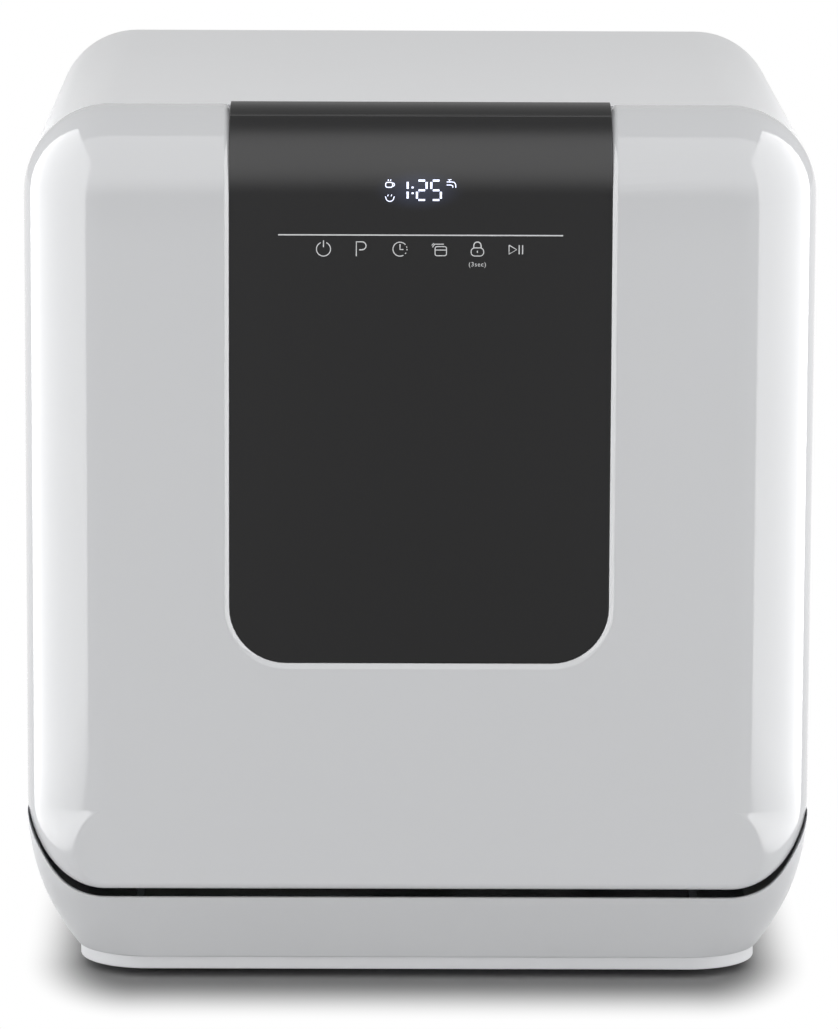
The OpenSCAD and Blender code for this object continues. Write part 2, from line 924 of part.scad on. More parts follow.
fan_z = 330;
fan_r = 24;
fan_y0 = tub_rear + tub_wall;
fan_y1 = panel_back_y - rear_panel_t - case_wall;

module fan_housing() {
    color("dimgray")
        translate([vent_x, fan_y0, fan_z])
            rotate([-90, 0, 0])
                difference() {
                    cylinder(fan_y1 - fan_y0, fan_r + 5, fan_r + 5);
                    translate([0, 0, -1])
                        cylinder(5, 20, 20);
                    translate([0, 0, 3])
                        cylinder(fan_y1, fan_r + 2, fan_r + 2);
                }
    // spindle post
    color("dimgray")
        translate([vent_x, fan_y0, fan_z])
            rotate([-90, 0, 0]) {
                cylinder(30, 3, 3);
                for (turn = [0:120:359])
                    rotate([0, 0, turn])
                        translate([0, -2, 0])
                            cube([fan_r, 4, 3]);
            }
}

wheel_l = 20;
wheel_hub_r = 8;
blade_at = 14;
blade_w = 9;

module fan_wheel() {
    color("black")
        translate([vent_x, fan_y0 + 5, fan_z])
            rotate([-90, 0, 0])
                difference() {
                    union() {
                        cylinder(wheel_l, wheel_hub_r, wheel_hub_r);
                        cylinder(2, fan_r, fan_r);
                        for (turn = [0:30:359])
                            rotate([0, 0, turn])
                                translate([blade_at, -0.8, 0])
                                    rotate([0, 0, 25])
                                        cube([blade_w, 1.6, wheel_l]);
                    }
                    translate([0, 0, -1])
                        cylinder(wheel_l + 2, 3 + run_fit, 3 + run_fit);
                }
}

// ---------- hinges ----------

pin_r = 2;
arm_half = 3.6;
arm_t = 4;
ear_gap = 1;
ear_t = 3;
ear_h = 40;
bracket_y = case_y + 5;

// Goose-neck arm: from the axis straight back under the tub, then down to the tray's floor
module hinge_brackets() {
    color("silver")
        for (side = [-1, 1])
            difference() {
                union() {
                    along_x(side * hinge_x - arm_t / 2, side * hinge_x + arm_t / 2)
                        union() {
                            translate([pivot_y, pivot_z])
                                circle(arm_half);
                            translate([pivot_y, pivot_z - arm_half])
                                square([bracket_y + 14 - pivot_y, 2 * arm_half]);
                            translate([bracket_y, tray_floor])
                                square([14, pivot_z - tray_floor]);
                        }
                    translate([side * hinge_x - 9, bracket_y - 4, tray_floor])
                        cube([18, 30, 3]);
                }
                translate([side * hinge_x - arm_t, pivot_y, pivot_z])
                    rotate([0, 90, 0])
                        cylinder(2 * arm_t, pin_r, pin_r);
            }
}

module hinge_pins() {
    color("gray")
        for (side = [-1, 1])
            translate([side * hinge_x - 8, pivot_y, pivot_z])
                rotate([0, 90, 0])
                    cylinder(16, pin_r, pin_r);
}

module hinge_ears() {
    color("silver")
        for (side = [-1, 1], half = [-1, 1])
            translate([side * hinge_x + half * (arm_t / 2 + ear_gap + ear_t / 2) - ear_t / 2, 0, 0])
                difference() {
                    along_x(0, ear_t)
                        polygon([
                            [front_y + door_wall + 1, door_low + door_wall],
                            [seam_y - liner_t, door_low + door_wall],
                            [seam_y - liner_t, door_low + ear_h],
                            [front_y + door_wall, door_low + ear_h],
                            [front_y + door_wall, door_low + door_wall + 1]
                        ]);
                    translate([-1, pivot_y, pivot_z])
                        rotate([0, 90, 0])
                            cylinder(ear_t + 2, pin_r + run_fit, pin_r + run_fit);
                }
}

// ---------- door ----------

corner_steps = 9;
roll_steps = 9;
inner_steps = 6;

// The door's outline as [x, z, inward x, inward z, roll radius]: top right, top left, low left, low right
function outline_point(k, s) =
    let (
        turn = 90 * k + 90 * s / corner_steps,
        top = k < 2,
        right = k == 0 || k == 3,
        r = top ? crown_r : door_corner_r,
        cx = (right ? 1 : -1) * (half_w - r),
        cz = top ? body_h - r : corner_z,
        down = top ? 0 : pow(sin(turn), 2)
    )
    [cx + r * cos(turn), cz + r * sin(turn), -cos(turn), -sin(turn), roll_r + (lip_r - roll_r) * down];

outline = [for (k = [0:3], s = [0:corner_steps]) outline_point(k, s)];
ring_n = len(outline);

// A ring of the shell: wall is 0 outside and the wall inside, a is the angle round the roll
function ring(wall, a) = [
    for (p = outline)
        let (r = max(p[4] - wall, 1), shift = wall + r * (1 - cos(a)))
        [p[0] + p[2] * shift, front_y + wall + r * (1 - sin(a)), p[1] + p[3] * shift]
];

function rim(wall) = [for (p = outline) [p[0] + p[2] * wall, seam_y, p[1] + p[3] * wall]];

// Quads that join ring a to ring b
function band(a, b) = [
    for (j = [0:ring_n - 1])
        let (k = (j + 1) % ring_n)
        [a * ring_n + j, b * ring_n + j, b * ring_n + k, a * ring_n + k]
];

module door_skin() {
    outer = concat([rim(0)], [for (i = [0:roll_steps]) ring(0, 90 * i / roll_steps)]);
    inner = concat([rim(door_wall)], [for (i = [0:inner_steps]) ring(door_wall, 90 * i / inner_steps)]);
    n_out = len(outer);
    n_in = len(inner);
    points = [for (r = concat(outer, inner)) each r];
    faces = concat(
        [for (i = [0:n_out - 2]) each band(i, i + 1)],
        [[for (j = [0:ring_n - 1]) (n_out - 1) * ring_n + ring_n - 1 - j]],
        [for (i = [n_out:n_out + n_in - 2]) each band(i + 1, i)],
        [[for (j = [0:ring_n - 1]) (n_out + n_in - 1) * ring_n + j]],
        band(n_out, 0)
    );
    polyhedron(points, faces, convexity = 6);
}

// Side outline of the panel's outer face, or drawn in by inset
panel_roll_r = roll_r + panel_rise - panel_sink;
panel_roll_y = front_y + panel_sink + panel_roll_r;
panel_roll_z = body_h + panel_rise - panel_roll_r;

module panel_side(inset) {
    translate([panel_roll_y, panel_roll_z])
        circle(panel_roll_r - inset, $fn = 96);
    translate([front_y + panel_sink + inset, 0])
        square([door_t, panel_roll_z]);
    translate([panel_roll_y, 0])
        square([seam_y + eps - panel_roll_y, body_h + panel_rise - inset]);
}

// The wrap-over panel, or with a fit and a reach its pocket in the door's shell
module panel_solid(fit, reach) {
    intersection() {
        along_x(-panel_w / 2 - fit, panel_w / 2 + fit)
            difference() {
                panel_side(-reach);
                panel_side(panel_t);
            }
        along_y(front_y - 10, seam_y + fit)
            union() {
                rounded([-panel_w / 2 - fit, panel_low - fit], [panel_w / 2 + fit, body_h], panel_corner_r);
                translate([-panel_w / 2 - fit, roll_z])
                    square([panel_w + 2 * fit, roll_r + 10]);
            }
    }
}

panel_fit = 0.15;
grip_y = panel_roll_y - panel_roll_r * sin(grip_angle);
grip_z = panel_roll_z + panel_roll_r * cos(grip_angle);

module hinge_slots() {
    slot = arm_t / 2 + ear_gap;
    for (side = [-1, 1])
        translate([side * hinge_x - slot, pivot_y - arm_half - 0.4, door_low - eps])
            cube([2 * slot, door_t, pivot_up + arm_half + 0.4 + eps]);
}

module door_outer() {
    color("white")
        difference() {
            door_skin();
            panel_solid(panel_fit, 10);
            hinge_slots();
        }
}

module control_panel() {
    color([0.16, 0.16, 0.17])
        difference() {
            panel_solid(0, 0);
            // finger groove under the top edge
            translate([-panel_w / 2 - 1, grip_y, grip_z])
                rotate([0, 90, 0])
                    cylinder(panel_w + 2, grip_r, grip_r);
        }
}

liner_t = 1.5;
shell_fit = 0.2;
pan_depth = 10;
pan_fit = 4;
pan_half_w = tub_half_w - pan_fit;
pan_low = tub_floor + 28;
pan_top = tub_ceiling - 11;
pan_r = 18;

module door_outline(inset) {
    intersection() {
        rounded([-half_w + inset, door_low], [half_w - inset, body_h - inset], crown_r - inset);
        upper_outline(-inset);
    }
}

module liner_pan(grow, y1) {
    along_y(seam_y - pan_depth - grow, y1)
        rounded([-pan_half_w - grow, pan_low - grow], [pan_half_w + grow, pan_top + grow], pan_r + grow);
}

module door_liner() {
    color("silver")
        difference() {
            union() {
                along_y(seam_y - liner_t, seam_y)
                    door_outline(door_wall + shell_fit);
                liner_pan(liner_t, seam_y - liner_t / 2);
            }
            liner_pan(0, seam_y + 1);
            hinge_slots();
            // slot for the latch's tongue
            translate([-hook_w / 2 - 0.3, seam_y - 2 * liner_t, latch_low - 0.3])
                cube([hook_w + 0.6, 3 * liner_t, latch_t + 0.6]);
            // window that the dispenser sits in
            along_y(seam_y - 20, seam_y)
                rounded([disp_x - disp_w / 2, disp_z - disp_h / 2], [disp_x + disp_w / 2, disp_z + disp_h / 2], 8);
        }
}

// ---------- dispenser ----------

disp_x = 20;
disp_w = 116;
disp_h = 96;
disp_z = (pan_low + pan_top - 1) / 2;
disp_depth = 22;
pan_y = seam_y - pan_depth;
cup_w = 50;
cup_h = 40;
cup_x = disp_x - disp_w / 2 + cup_w / 2 + 5;
cup_z = disp_z - disp_h / 2 + cup_h / 2 + 8;
lid_t = 2.4;
lid_slack = 0.3;
lid_travel = 46;
rinse_r = 14;
rinse_x = disp_x + disp_w / 2 - 2 * rinse_r;
rinse_z = disp_z + disp_h / 2 - rinse_r - 10;

module dispenser_body() {
    color("lightgray")
        difference() {
            union() {
                along_y(pan_y - disp_depth, pan_y)
                    rounded([disp_x - disp_w / 2 + 0.2, disp_z - disp_h / 2 + 0.2],
                            [disp_x + disp_w / 2 - 0.2, disp_z + disp_h / 2 - 0.2], 8);
                along_y(pan_y, pan_y + 1.5)
                    rounded([disp_x - disp_w / 2 - 5, disp_z - disp_h / 2 - 5],
                            [disp_x + disp_w / 2 + 5, disp_z + disp_h / 2 + 5], 12);
                // two guides that the lid slides between
                for (half = [-1, 1])
                    along_x(disp_x - disp_w / 2 + 2, disp_x + disp_w / 2 - 2)
                        polygon([
                            [pan_y + 1, cup_z + half * (cup_h / 2 + 4)],
                            [pan_y + 1.5 + lid_t + 2 * lid_slack, cup_z + half * (cup_h / 2 + 4)],
                            [pan_y + 1.5 + lid_t + 2 * lid_slack, cup_z + half * (cup_h / 2 + 1)],
                            [pan_y + 3.1 + lid_t + 2 * lid_slack, cup_z + half * (cup_h / 2 + 1)],
                            [pan_y + 3.1 + lid_t + 2 * lid_slack, cup_z + half * (cup_h / 2 + 6)],
                            [pan_y + 1, cup_z + half * (cup_h / 2 + 6)]
                        ]);
            }
            // detergent cup
            along_y(pan_y - disp_depth + 3, pan_y + 2)
                rounded([cup_x - cup_w / 2 + 3, cup_z - cup_h / 2 + 1], [cup_x + cup_w / 2 - 3, cup_z + cup_h / 2 - 1], 7);
            // neck of the rinse aid tank
            translate([rinse_x, pan_y + 2, rinse_z])
                rotate([90, 0, 0])
                    cylinder(12, rinse_r - 4, rinse_r - 4);
        }
}

module dispenser_lid() {
    color("white")
        difference() {
            union() {
                along_y(pan_y + 1.5 + lid_slack, pan_y + 1.5 + lid_slack + lid_t)
                    rounded([cup_x - cup_w / 2, cup_z - cup_h / 2 - 4 + lid_slack],
                            [cup_x + cup_w / 2, cup_z + cup_h / 2 + 4 - lid_slack], 2);
                // thumb ridges
                for (dx = [0, 5, 10])
                    translate([cup_x + dx, pan_y + 1.5 + lid_slack, cup_z - 12])
                        cube([2, lid_t + 1.2, 24]);
            }
        }
}

module rinse_cap() {
    color("lightsteelblue")
        translate([rinse_x, pan_y + 1.6, rinse_z])
            rotate([-90, 0, 0]) {
                cylinder(4, rinse_r, rinse_r - 1);
                translate([-rinse_r + 3, -1.5, 3.5])
                    cube([2 * rinse_r - 6, 3, 3]);
                translate([0, 0, -8])
                    cylinder(8 + eps, rinse_r - 4 - run_fit, rinse_r - 4 - run_fit);
            }
}

// ---------- latch and electronics ----------

latch_t = 3;
latch_low = tub_ceiling + 11;
hook_reach = 12;
hook_w = 12;
strike_w = 32;
strike_floor = 6;
strike_low = tub_ceiling + tub_wall;
strike_hole_w = 18;
strike_hole_h = 9;
strike_h = 18;

module latch_hook() {
    color("gray")
        difference() {
            union() {
                // body behind the liner and the tongue that enters the strike
                translate([-14, seam_y - 20, latch_low - 8])
                    cube([28, 20 - liner_t, 12]);
                translate([-hook_w / 2, seam_y - liner_t - eps, latch_low])
                    cube([hook_w, hook_reach + liner_t + eps, latch_t]);
            }
            translate([-3.5, seam_y + hook_reach - 6, latch_low - 1])
                cube([7, 3, latch_t + 2]);
        }
}

// Slot for the tongue in the flanges of the case and the tub
module latch_slot(y0, y1) {
    along_y(y0, y1)
        rounded([-strike_hole_w / 2, strike_low + strike_floor],
                [strike_hole_w / 2, strike_low + strike_floor + strike_hole_h], 1);
}

module latch_strike() {
    color("silver")
        difference() {
            translate([-strike_w / 2, tub_front + flange_t, strike_low])
                cube([strike_w, 16, strike_h]);
            translate([-strike_hole_w / 2, tub_front, strike_low + strike_floor])
                cube([strike_hole_w, 16, strike_hole_h]);
        }
}

display_z = body_h - 39;
display_w = 84;
display_h = 16;
display_t = 9;
board_y = front_y + 18;
board_w = panel_w - 20;
board_h = 66;
board_t = 1.6;
board_low = display_z - board_h - 2;
standoff_r = 3;
standoff_in = 6;
standoff_up = board_h - 20;
relay = [30, 12, 24];
transformer = [40, 10, 20];

module display_module() {
    color("ghostwhite")
        translate([-display_w / 2, board_y - display_t, display_z - 10])
            cube([display_w, display_t, display_h]);
}

module control_board() {
    color("darkgreen") {
        translate([-board_w / 2, board_y, board_low])
            cube([board_w, board_t, board_h]);
        // standoffs to the shell behind the panel, relay and transformer
        for (x = [standoff_in - board_w / 2, board_w / 2 - standoff_in], z = [standoff_in, standoff_up])
            translate([x, front_y + door_wall, board_low + z])
                rotate([-90, 0, 0])
                    cylinder(board_y - front_y - door_wall, standoff_r, standoff_r);
        translate([-60, board_y + board_t, board_low + 10])
            cube(relay);
        translate([20, board_y + board_t, board_low + 12])
            cube(transformer);
    }
}

// ---------- rack ----------

rack_x = tub_half_w - rack_side;
rack_y0 = tub_front + rack_ahead;
rack_y1 = tub_rear - rack_behind;
rack_top = rack_low + rack_h;
wire_r = wire_d / 2;
rim_r = wire_r + 0.5;
floor_z = rack_low + wire_r;
// The walls lean out a little from the floor to the rim
lean_out = 10;
floor_x = rack_x - lean_out;
floor_n = floor((2 * floor_x) / wire_pitch);
floor_step = 2 * floor_x / floor_n;
cross_n = 7;
cross_y0 = rack_y0 + lean_out;
cross_y1 = rack_y1 - lean_out;
cross_step = (cross_y1 - cross_y0) / cross_n;
// Cross wires are welded into the floor wires by a fifth of their thickness
cross_z = floor_z + wire_d * 0.8;
wire_end = wire_r * 0.45;
// The upright wires are a hair thinner than the floor's
lean_r = wire_r - 0.08;
rim_x = rack_x - rim_r;
rim_y0 = rack_y0 + rim_r;
rim_y1 = rack_y1 - rim_r;
rim_z = rack_top - rim_r;
rim_step = 0.3;
band_z = rack_low + rack_h * 0.72;
band_share = (band_z - floor_z) / (rim_z - floor_z);
// The leaning wires' line at the band, and the band just outside it
line_x = floor_x + (rim_x - floor_x) * band_share;
line_y0 = cross_y0 + (rim_y0 - cross_y0) * band_share;
line_y1 = cross_y1 + (rim_y1 - cross_y1) * band_share;
band_out = wire_d * 0.7;

// Front and rear walls stop this short of the side walls' wires
weld_gap = 0.05;
wall_end = rim_x - rim_r - weld_gap;
band_end = line_x - wire_r - weld_gap;

module rack_frame() {
    color("silver") {
        // floor wires along Y, and the cross wires that lie on them
        for (i = [0:floor_n]) {
            x = -floor_x + i * floor_step;
            bar([x, cross_y0 - wire_end, floor_z], [x, cross_y1 + wire_end, floor_z], wire_r);
        }
        for (i = [0:cross_n]) {
            y = cross_y0 + i * cross_step;
            bar([-floor_x - wire_end, y, cross_z], [floor_x + wire_end, y, cross_z], wire_r);
        }
    }
}

module rack_walls() {
    color("silver") {
        // side walls, with a wire that leans both ways at each end
        for (side = [-1, 1]) {
            for (i = [1:cross_n - 1]) {
                y = cross_y0 + i * cross_step;
                bar([side * floor_x, y, cross_z], [side * rim_x, y, rim_z], lean_r);
            }
            bar([side * floor_x, cross_y0, floor_z], [side * rim_x, rim_y0, rim_z], lean_r);
            bar([side * floor_x, cross_y1, floor_z], [side * rim_x, rim_y1, rim_z], lean_r);
            // band round the upright wires, and the rim
            bar([side * (line_x + band_out), line_y0 - wire_end, band_z - rim_step],
                [side * (line_x + band_out), line_y1 + wire_end, band_z - rim_step], wire_r);
            bar([side * rim_x, rim_y0 - wire_end, rim_z - rim_step],
                [side * rim_x, rim_y1 + wire_end, rim_z - rim_step], rim_r);
        }
        // front and rear walls
        for (i = [1:floor_n - 1]) {
            x = -floor_x + i * floor_step;
            bar([x, cross_y0, floor_z], [x, rim_y0, rim_z], lean_r);
            bar([x, cross_y1, floor_z], [x, rim_y1, rim_z], lean_r);
        }
        for (y = [line_y0 - band_out, line_y1 + band_out])
            bar([-band_end, y, band_z], [band_end, y, band_z], wire_r);
        for (y = [rim_y0, rim_y1])
            bar([-wall_end, y, rim_z], [wall_end, y, rim_z], rim_r);
    }
}

basket_w = 56;
basket_l = 140;
basket_x1 = rack_x - 20;
basket_x0 = basket_x1 - basket_w;
row_pitch = 48;
row_gap = 52;
tine_rows = [for (i = [2:-1:0]) basket_x0 - row_gap - i * row_pitch];
tine_lean = 5;
tine_pitch = cross_step / 2;

module rack_tines() {
    color("gainsboro")
        for (x = tine_rows) {
            // a rail that lies on the cross wires carries its row of tines
            bar([x, cross_y0 + 2, floor_z + wire_d * 1.6], [x, cross_y1 - 2, floor_z + wire_d * 1.6], wire_r);
            for (i = [1:2 * cross_n - 1]) {
                y = cross_y0 + i * tine_pitch;
                bar([x, y, floor_z + wire_d * 1.6], [x + tine_lean, y, floor_z + tine_h], wire_r);
            }
        }
}

glide_l = 34;
glide_ys = [rack_y0 + 94, rack_y1 - 38];
glide_inner = 6;
plate_inner = 9;
plate_thick = 5;

module rack_glides() {
    shoe_x = tub_half_w - rail_wall - glide_slack;
    color("lightgray")
        for (side = [-1, 1], y = glide_ys)
            mirror([side < 0 ? 1 : 0, 0, 0]) {
                // shoe that runs in the rail
                translate([rim_x - glide_inner, y - glide_l / 2, rail_z + rail_wall + glide_slack])
                    cube([shoe_x - rim_x + glide_inner, glide_l, rail_h - 2 * rail_wall - 2 * glide_slack]);
                // plate that clips to the rack's side wires
                translate([rim_x - plate_inner, y - glide_l / 2, rail_z - 8])
                    cube([plate_thick, glide_l, rail_h + 14]);
            }
}

handle_w = 100;
handle_h = 16;
handle_side = 8;

module rack_handle() {
    color("gray")
        translate([-handle_w / 2, rack_y0 - 2, rack_top + 2 - handle_h])
            difference() {
                cube([handle_w, 2 * rim_r + 4, handle_h]);
                translate([handle_side, -1, -4])
                    cube([handle_w - 2 * handle_side, 20, 12]);
            }
}

// ---------- cup shelf, basket ----------

shelf_z = rack_top + 24;
shelf_x = -rack_x + rim_r;
shelf_w = 70;
shelf_y0 = rack_y0 + 34;
shelf_y1 = rack_y1 - 28;
shelf_pin_r = 2;
clip_t = 6;
clip_w = 10;
clip_grip = 14;
finger_pitch = 20;

// Posts on the rack's left wall that carry the shelf's hinge bar
module shelf_clips() {
    color("gray")
        for (y = [shelf_y0 - clip_t, shelf_y1])
            difference() {
                translate([shelf_x - clip_w / 2, y, rack_top - clip_grip])
                    cube([clip_w, clip_t, shelf_z - rack_top + clip_grip + 6]);
                translate([shelf_x, y - 1, shelf_z])
                    rotate([-90, 0, 0])
                        cylinder(clip_t + 2, shelf_pin_r + run_fit, shelf_pin_r + run_fit);
            }
}

module cup_shelf() {
    color("gainsboro") {
        // hinge bar, held by the clips at both ends
        translate([shelf_x, shelf_y0 - clip_t - 1, shelf_z])
            rotate([-90, 0, 0])
                cylinder(shelf_y1 - shelf_y0 + 2 * clip_t + 2, shelf_pin_r, shelf_pin_r);
        for (y = [shelf_y0 + 5:finger_pitch:shelf_y1 - 4])
            bar([shelf_x, y, shelf_z], [shelf_x + shelf_w, y, shelf_z], wire_r);
        for (dx = [shelf_w / 2, shelf_w])
            bar([shelf_x + dx, shelf_y0 + 2, shelf_z], [shelf_x + dx, shelf_y1 - 2, shelf_z], wire_r);
    }
}

basket_y0 = rack_y0 + 24;
basket_y1 = basket_y0 + basket_l;
basket_h = 96;
window_w = 10;
window_h = 22;
window_pitch = 16;
basket_low = floor_z + wire_d * 0.8 + wire_r + 0.5;
basket_wall = 1.8;

basket_in = basket_wall + weld_gap;

// Floor, two ends and two long sides with windows, clipped together
module cutlery_basket() {
    color("dimgray") {
        difference() {
            translate([basket_x0 + basket_in, basket_y0 + basket_in, basket_low])
                cube([basket_w - 2 * basket_in, basket_l - 2 * basket_in, basket_wall]);
            for (y = [basket_y0 + 12:window_pitch:basket_y1 - 20])
                translate([basket_x0 + 14, y, basket_low - 1])
                    cube([basket_w - 28, window_w, basket_wall + 2]);
        }
        for (y = [basket_y0, basket_y1 - basket_wall])
            translate([basket_x0 + basket_in, y, basket_low])
                cube([basket_w - 2 * basket_in, basket_wall, basket_h]);
        for (x = [basket_x0, basket_x1 - basket_wall])
            difference() {
                translate([x, basket_y0, basket_low])
                    cube([basket_wall, basket_l, basket_h]);
                for (y = [basket_y0 + 12:window_pitch:basket_y1 - 20], z = [16, 46])
                    translate([x - 1, y, basket_low + z])
                        cube([basket_wall + 2, window_w, window_h]);
            }
    }
}

base_tray();
plinth();
feet();
case_shell();
rear_panel();
rear_screws();
tub();
tub_gasket();
rack_rails();
sump();
filter_well();
filter_plate();
filter_cup();
wash_pump();
drain_pump();
flow_heater();
air_break_tank();
inlet_valve();
drain_spigot();
cord_gland();
upper_feed_pipe();
lower_spray_arm();
upper_spray_arm();
float_dome();
fan_housing();
fan_wheel();
hinge_brackets();
hinge_pins();
latch_strike();
door_outer();
control_panel();
door_liner();
hinge_ears();
latch_hook();
display_module();
control_board();
dispenser_body();
dispenser_lid();
rinse_cap();
rack_frame();
rack_walls();
rack_tines();
rack_glides();
rack_handle();
cup_shelf();
shelf_clips();
cutlery_basket();
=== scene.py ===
"""Countertop dishwasher: gloss white door and case, a charcoal panel that wraps over the door's top, a steel tub
with a wire rack. Sizes are in millimetres, as in the part's source, and turned to metres as a mesh is made."""
import math

import bmesh
import bpy
from mathutils import Matrix, Vector


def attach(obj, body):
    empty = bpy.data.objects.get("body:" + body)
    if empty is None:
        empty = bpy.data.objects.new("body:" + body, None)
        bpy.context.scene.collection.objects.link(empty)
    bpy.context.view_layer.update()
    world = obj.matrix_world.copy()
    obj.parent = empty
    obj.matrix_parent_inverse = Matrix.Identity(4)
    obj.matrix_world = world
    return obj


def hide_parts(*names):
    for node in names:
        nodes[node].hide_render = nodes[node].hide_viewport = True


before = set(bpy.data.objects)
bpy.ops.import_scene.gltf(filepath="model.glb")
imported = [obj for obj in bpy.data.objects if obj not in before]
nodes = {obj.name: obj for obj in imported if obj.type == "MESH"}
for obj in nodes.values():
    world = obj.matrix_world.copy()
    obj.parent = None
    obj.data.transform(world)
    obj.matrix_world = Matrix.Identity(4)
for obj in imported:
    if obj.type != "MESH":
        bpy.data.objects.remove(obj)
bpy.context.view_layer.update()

MM = 0.001

# ---------- camera: the photograph's viewing angle ----------

IMAGE_LONG_SIDE = 1029
FOCAL_PIXELS = 6348.1
CAMERA_AT = (-24.2, -3515.6, 847.8)
YAW, PITCH, ROLL_ANGLE = (math.radians(a) for a in (0.416, 10.216, 0.243))


def make_camera():
    forward = Vector((math.sin(YAW) * math.cos(PITCH), math.cos(YAW) * math.cos(PITCH), -math.sin(PITCH)))
    right = Vector((math.cos(YAW), -math.sin(YAW), 0))
    up = right.cross(forward)
    c, s = math.cos(ROLL_ANGLE), math.sin(ROLL_ANGLE)
    right, up = right * c + up * s, up * c - right * s
    bpy.ops.object.camera_add()
    camera = bpy.context.object
    camera.name = "camera"
    turned = Matrix((right, up, -forward)).transposed().to_4x4()
    camera.matrix_world = Matrix.Translation(Vector(CAMERA_AT) * MM) @ turned
    camera.data.lens = FOCAL_PIXELS * camera.data.sensor_width / IMAGE_LONG_SIDE
    camera.data.clip_end = 60
    bpy.context.scene.camera = camera


make_camera()

# ---------- finishes ----------


def srgb(red, green=None, blue=None):
    """Linear colour from 0 to 255 values."""
    values = (red, red if green is None else green, red if blue is None else blue)
    return tuple((v / 255 / 12.92) if v < 10.3 else ((v / 255 + 0.055) / 1.055) ** 2.4 for v in values) + (1.0,)


class Field:
    """A value that changes over a surface; Python's operators add its Math nodes."""

    def __init__(self, finish, socket):
        self.finish, self.socket = finish, socket

    def maths(self, operation, *values):
        return self.finish.node("ShaderNodeMath", {"operation": operation}, dict(enumerate(values)))

    def __add__(self, other):
        return self.maths("ADD", self, other)

    __radd__ = __add__

    def __sub__(self, other):
        return self.maths("SUBTRACT", self, other)

    def __rsub__(self, other):
        return self.maths("SUBTRACT", other, self)

    def __mul__(self, other):
        return self.maths("MULTIPLY", self, other)

    __rmul__ = __mul__

    def __truediv__(self, other):
        return self.maths("DIVIDE", self, other)

    def __pow__(self, other):
        return self.maths("POWER", self, other)

    def __gt__(self, other):
        return self.maths("GREATER_THAN", self, other)

    def sine(self):
        return self.maths("SINE", self)

    def clamped(self):
        return self.finish.node("ShaderNodeClamp", {}, {0: self})


class Finish:
    """A procedural material on Object coordinates, in metres."""

    def __init__(self, name, **constants):
        self.material = bpy.data.materials.new(name)
        self.material.use_nodes = True
        self.tree = self.material.node_tree
        self.shader = self.tree.nodes["Principled BSDF"]
        for socket, value in constants.items():
            self.shader.inputs[socket.replace("_", " ")].default_value = value

    def node(self, kind, settings, inputs, output=0):
        made = self.tree.nodes.new(kind)
        for key, value in settings.items():
            setattr(made, key, value)
        for key, value in inputs.items():
            if isinstance(value, Field):
                self.tree.links.new(value.socket, made.inputs[key])
            else:
                made.inputs[key].default_value = value
        return Field(self, made.outputs[output])

    def place(self, stretch=(1, 1, 1)):
        at = self.node("ShaderNodeTexCoord", {}, {}, "Object")
        return self.node("ShaderNodeMapping", {}, {"Vector": at, "Scale": stretch})

    def axes(self):
        at = self.node("ShaderNodeTexCoord", {}, {}, "Object")
        return [self.node("ShaderNodeSeparateXYZ", {}, {0: at}, axis) for axis in "XYZ"]

    def noise(self, scale, detail=2.0, stretch=(1, 1, 1)):
        return self.node("ShaderNodeTexNoise", {}, {"Vector": self.place(stretch), "Scale": scale, "Detail": detail})

    def cells(self, scale, feature="F1", output="Distance"):
        return self.node("ShaderNodeTexVoronoi", {"feature": feature}, {"Vector": self.place(), "Scale": scale}, output)

    def mix(self, factor, first, second):
        return self.node("ShaderNodeMix", {"data_type": "RGBA"}, {0: factor, 6: first, 7: second}, 2)

    def bump(self, height, strength, depth):
        return self.node("ShaderNodeBump", {}, {"Height": height, "Strength": strength, "Distance": depth})

    def feed(self, **fields):
        for socket, field in fields.items():
            self.tree.links.new(field.socket, self.shader.inputs[socket.replace("_", " ")])
        return self.material


def moulded(name, colour, rough, grain=900, depth=0.00002, shade=0.03, **constants):
    """Moulded plastic or paint: faint clouding, a fine surface and small changes of gloss."""
    f = Finish(name, **constants)
    cloud = f.noise(9, 3)
    fine = f.noise(grain, 2)
    darker = tuple(c * (1 - shade) for c in colour[:3]) + (1.0,)
    return f.feed(
        Base_Color=f.mix(cloud, darker, colour),
        Roughness=rough - 0.02 + 0.04 * f.noise(35, 3),
        Normal=f.bump(fine, 0.25, depth),
    )


def brushed(name, colour, rough, stretch, depth=0.00003):
    """Rolled or brushed sheet metal with its grain along one axis."""
    f = Finish(name, Metallic=1.0)
    lines = f.noise(500, 2, stretch)
    patches = f.noise(11, 3)
    darker = tuple(c * 0.86 for c in colour[:3]) + (1.0,)
    return f.feed(
        Base_Color=f.mix(lines * 0.6 + patches * 0.4, darker, colour),
        Roughness=rough + 0.08 * lines + 0.05 * patches,
        Normal=f.bump(lines, 0.3, depth),
    )


def spangled(name, colour, rough):
    """Zinc-plated steel: a faint pattern of crystals."""
    f = Finish(name, Metallic=1.0)
    crystals = f.cells(140, output="Color")
    darker = tuple(c * 0.82 for c in colour[:3]) + (1.0,)
    return f.feed(
        Base_Color=f.mix(crystals, darker, colour),
        Roughness=rough + 0.08 * f.noise(90, 3),
        Normal=f.bump(f.noise(700, 2), 0.2, 0.00003),
    )


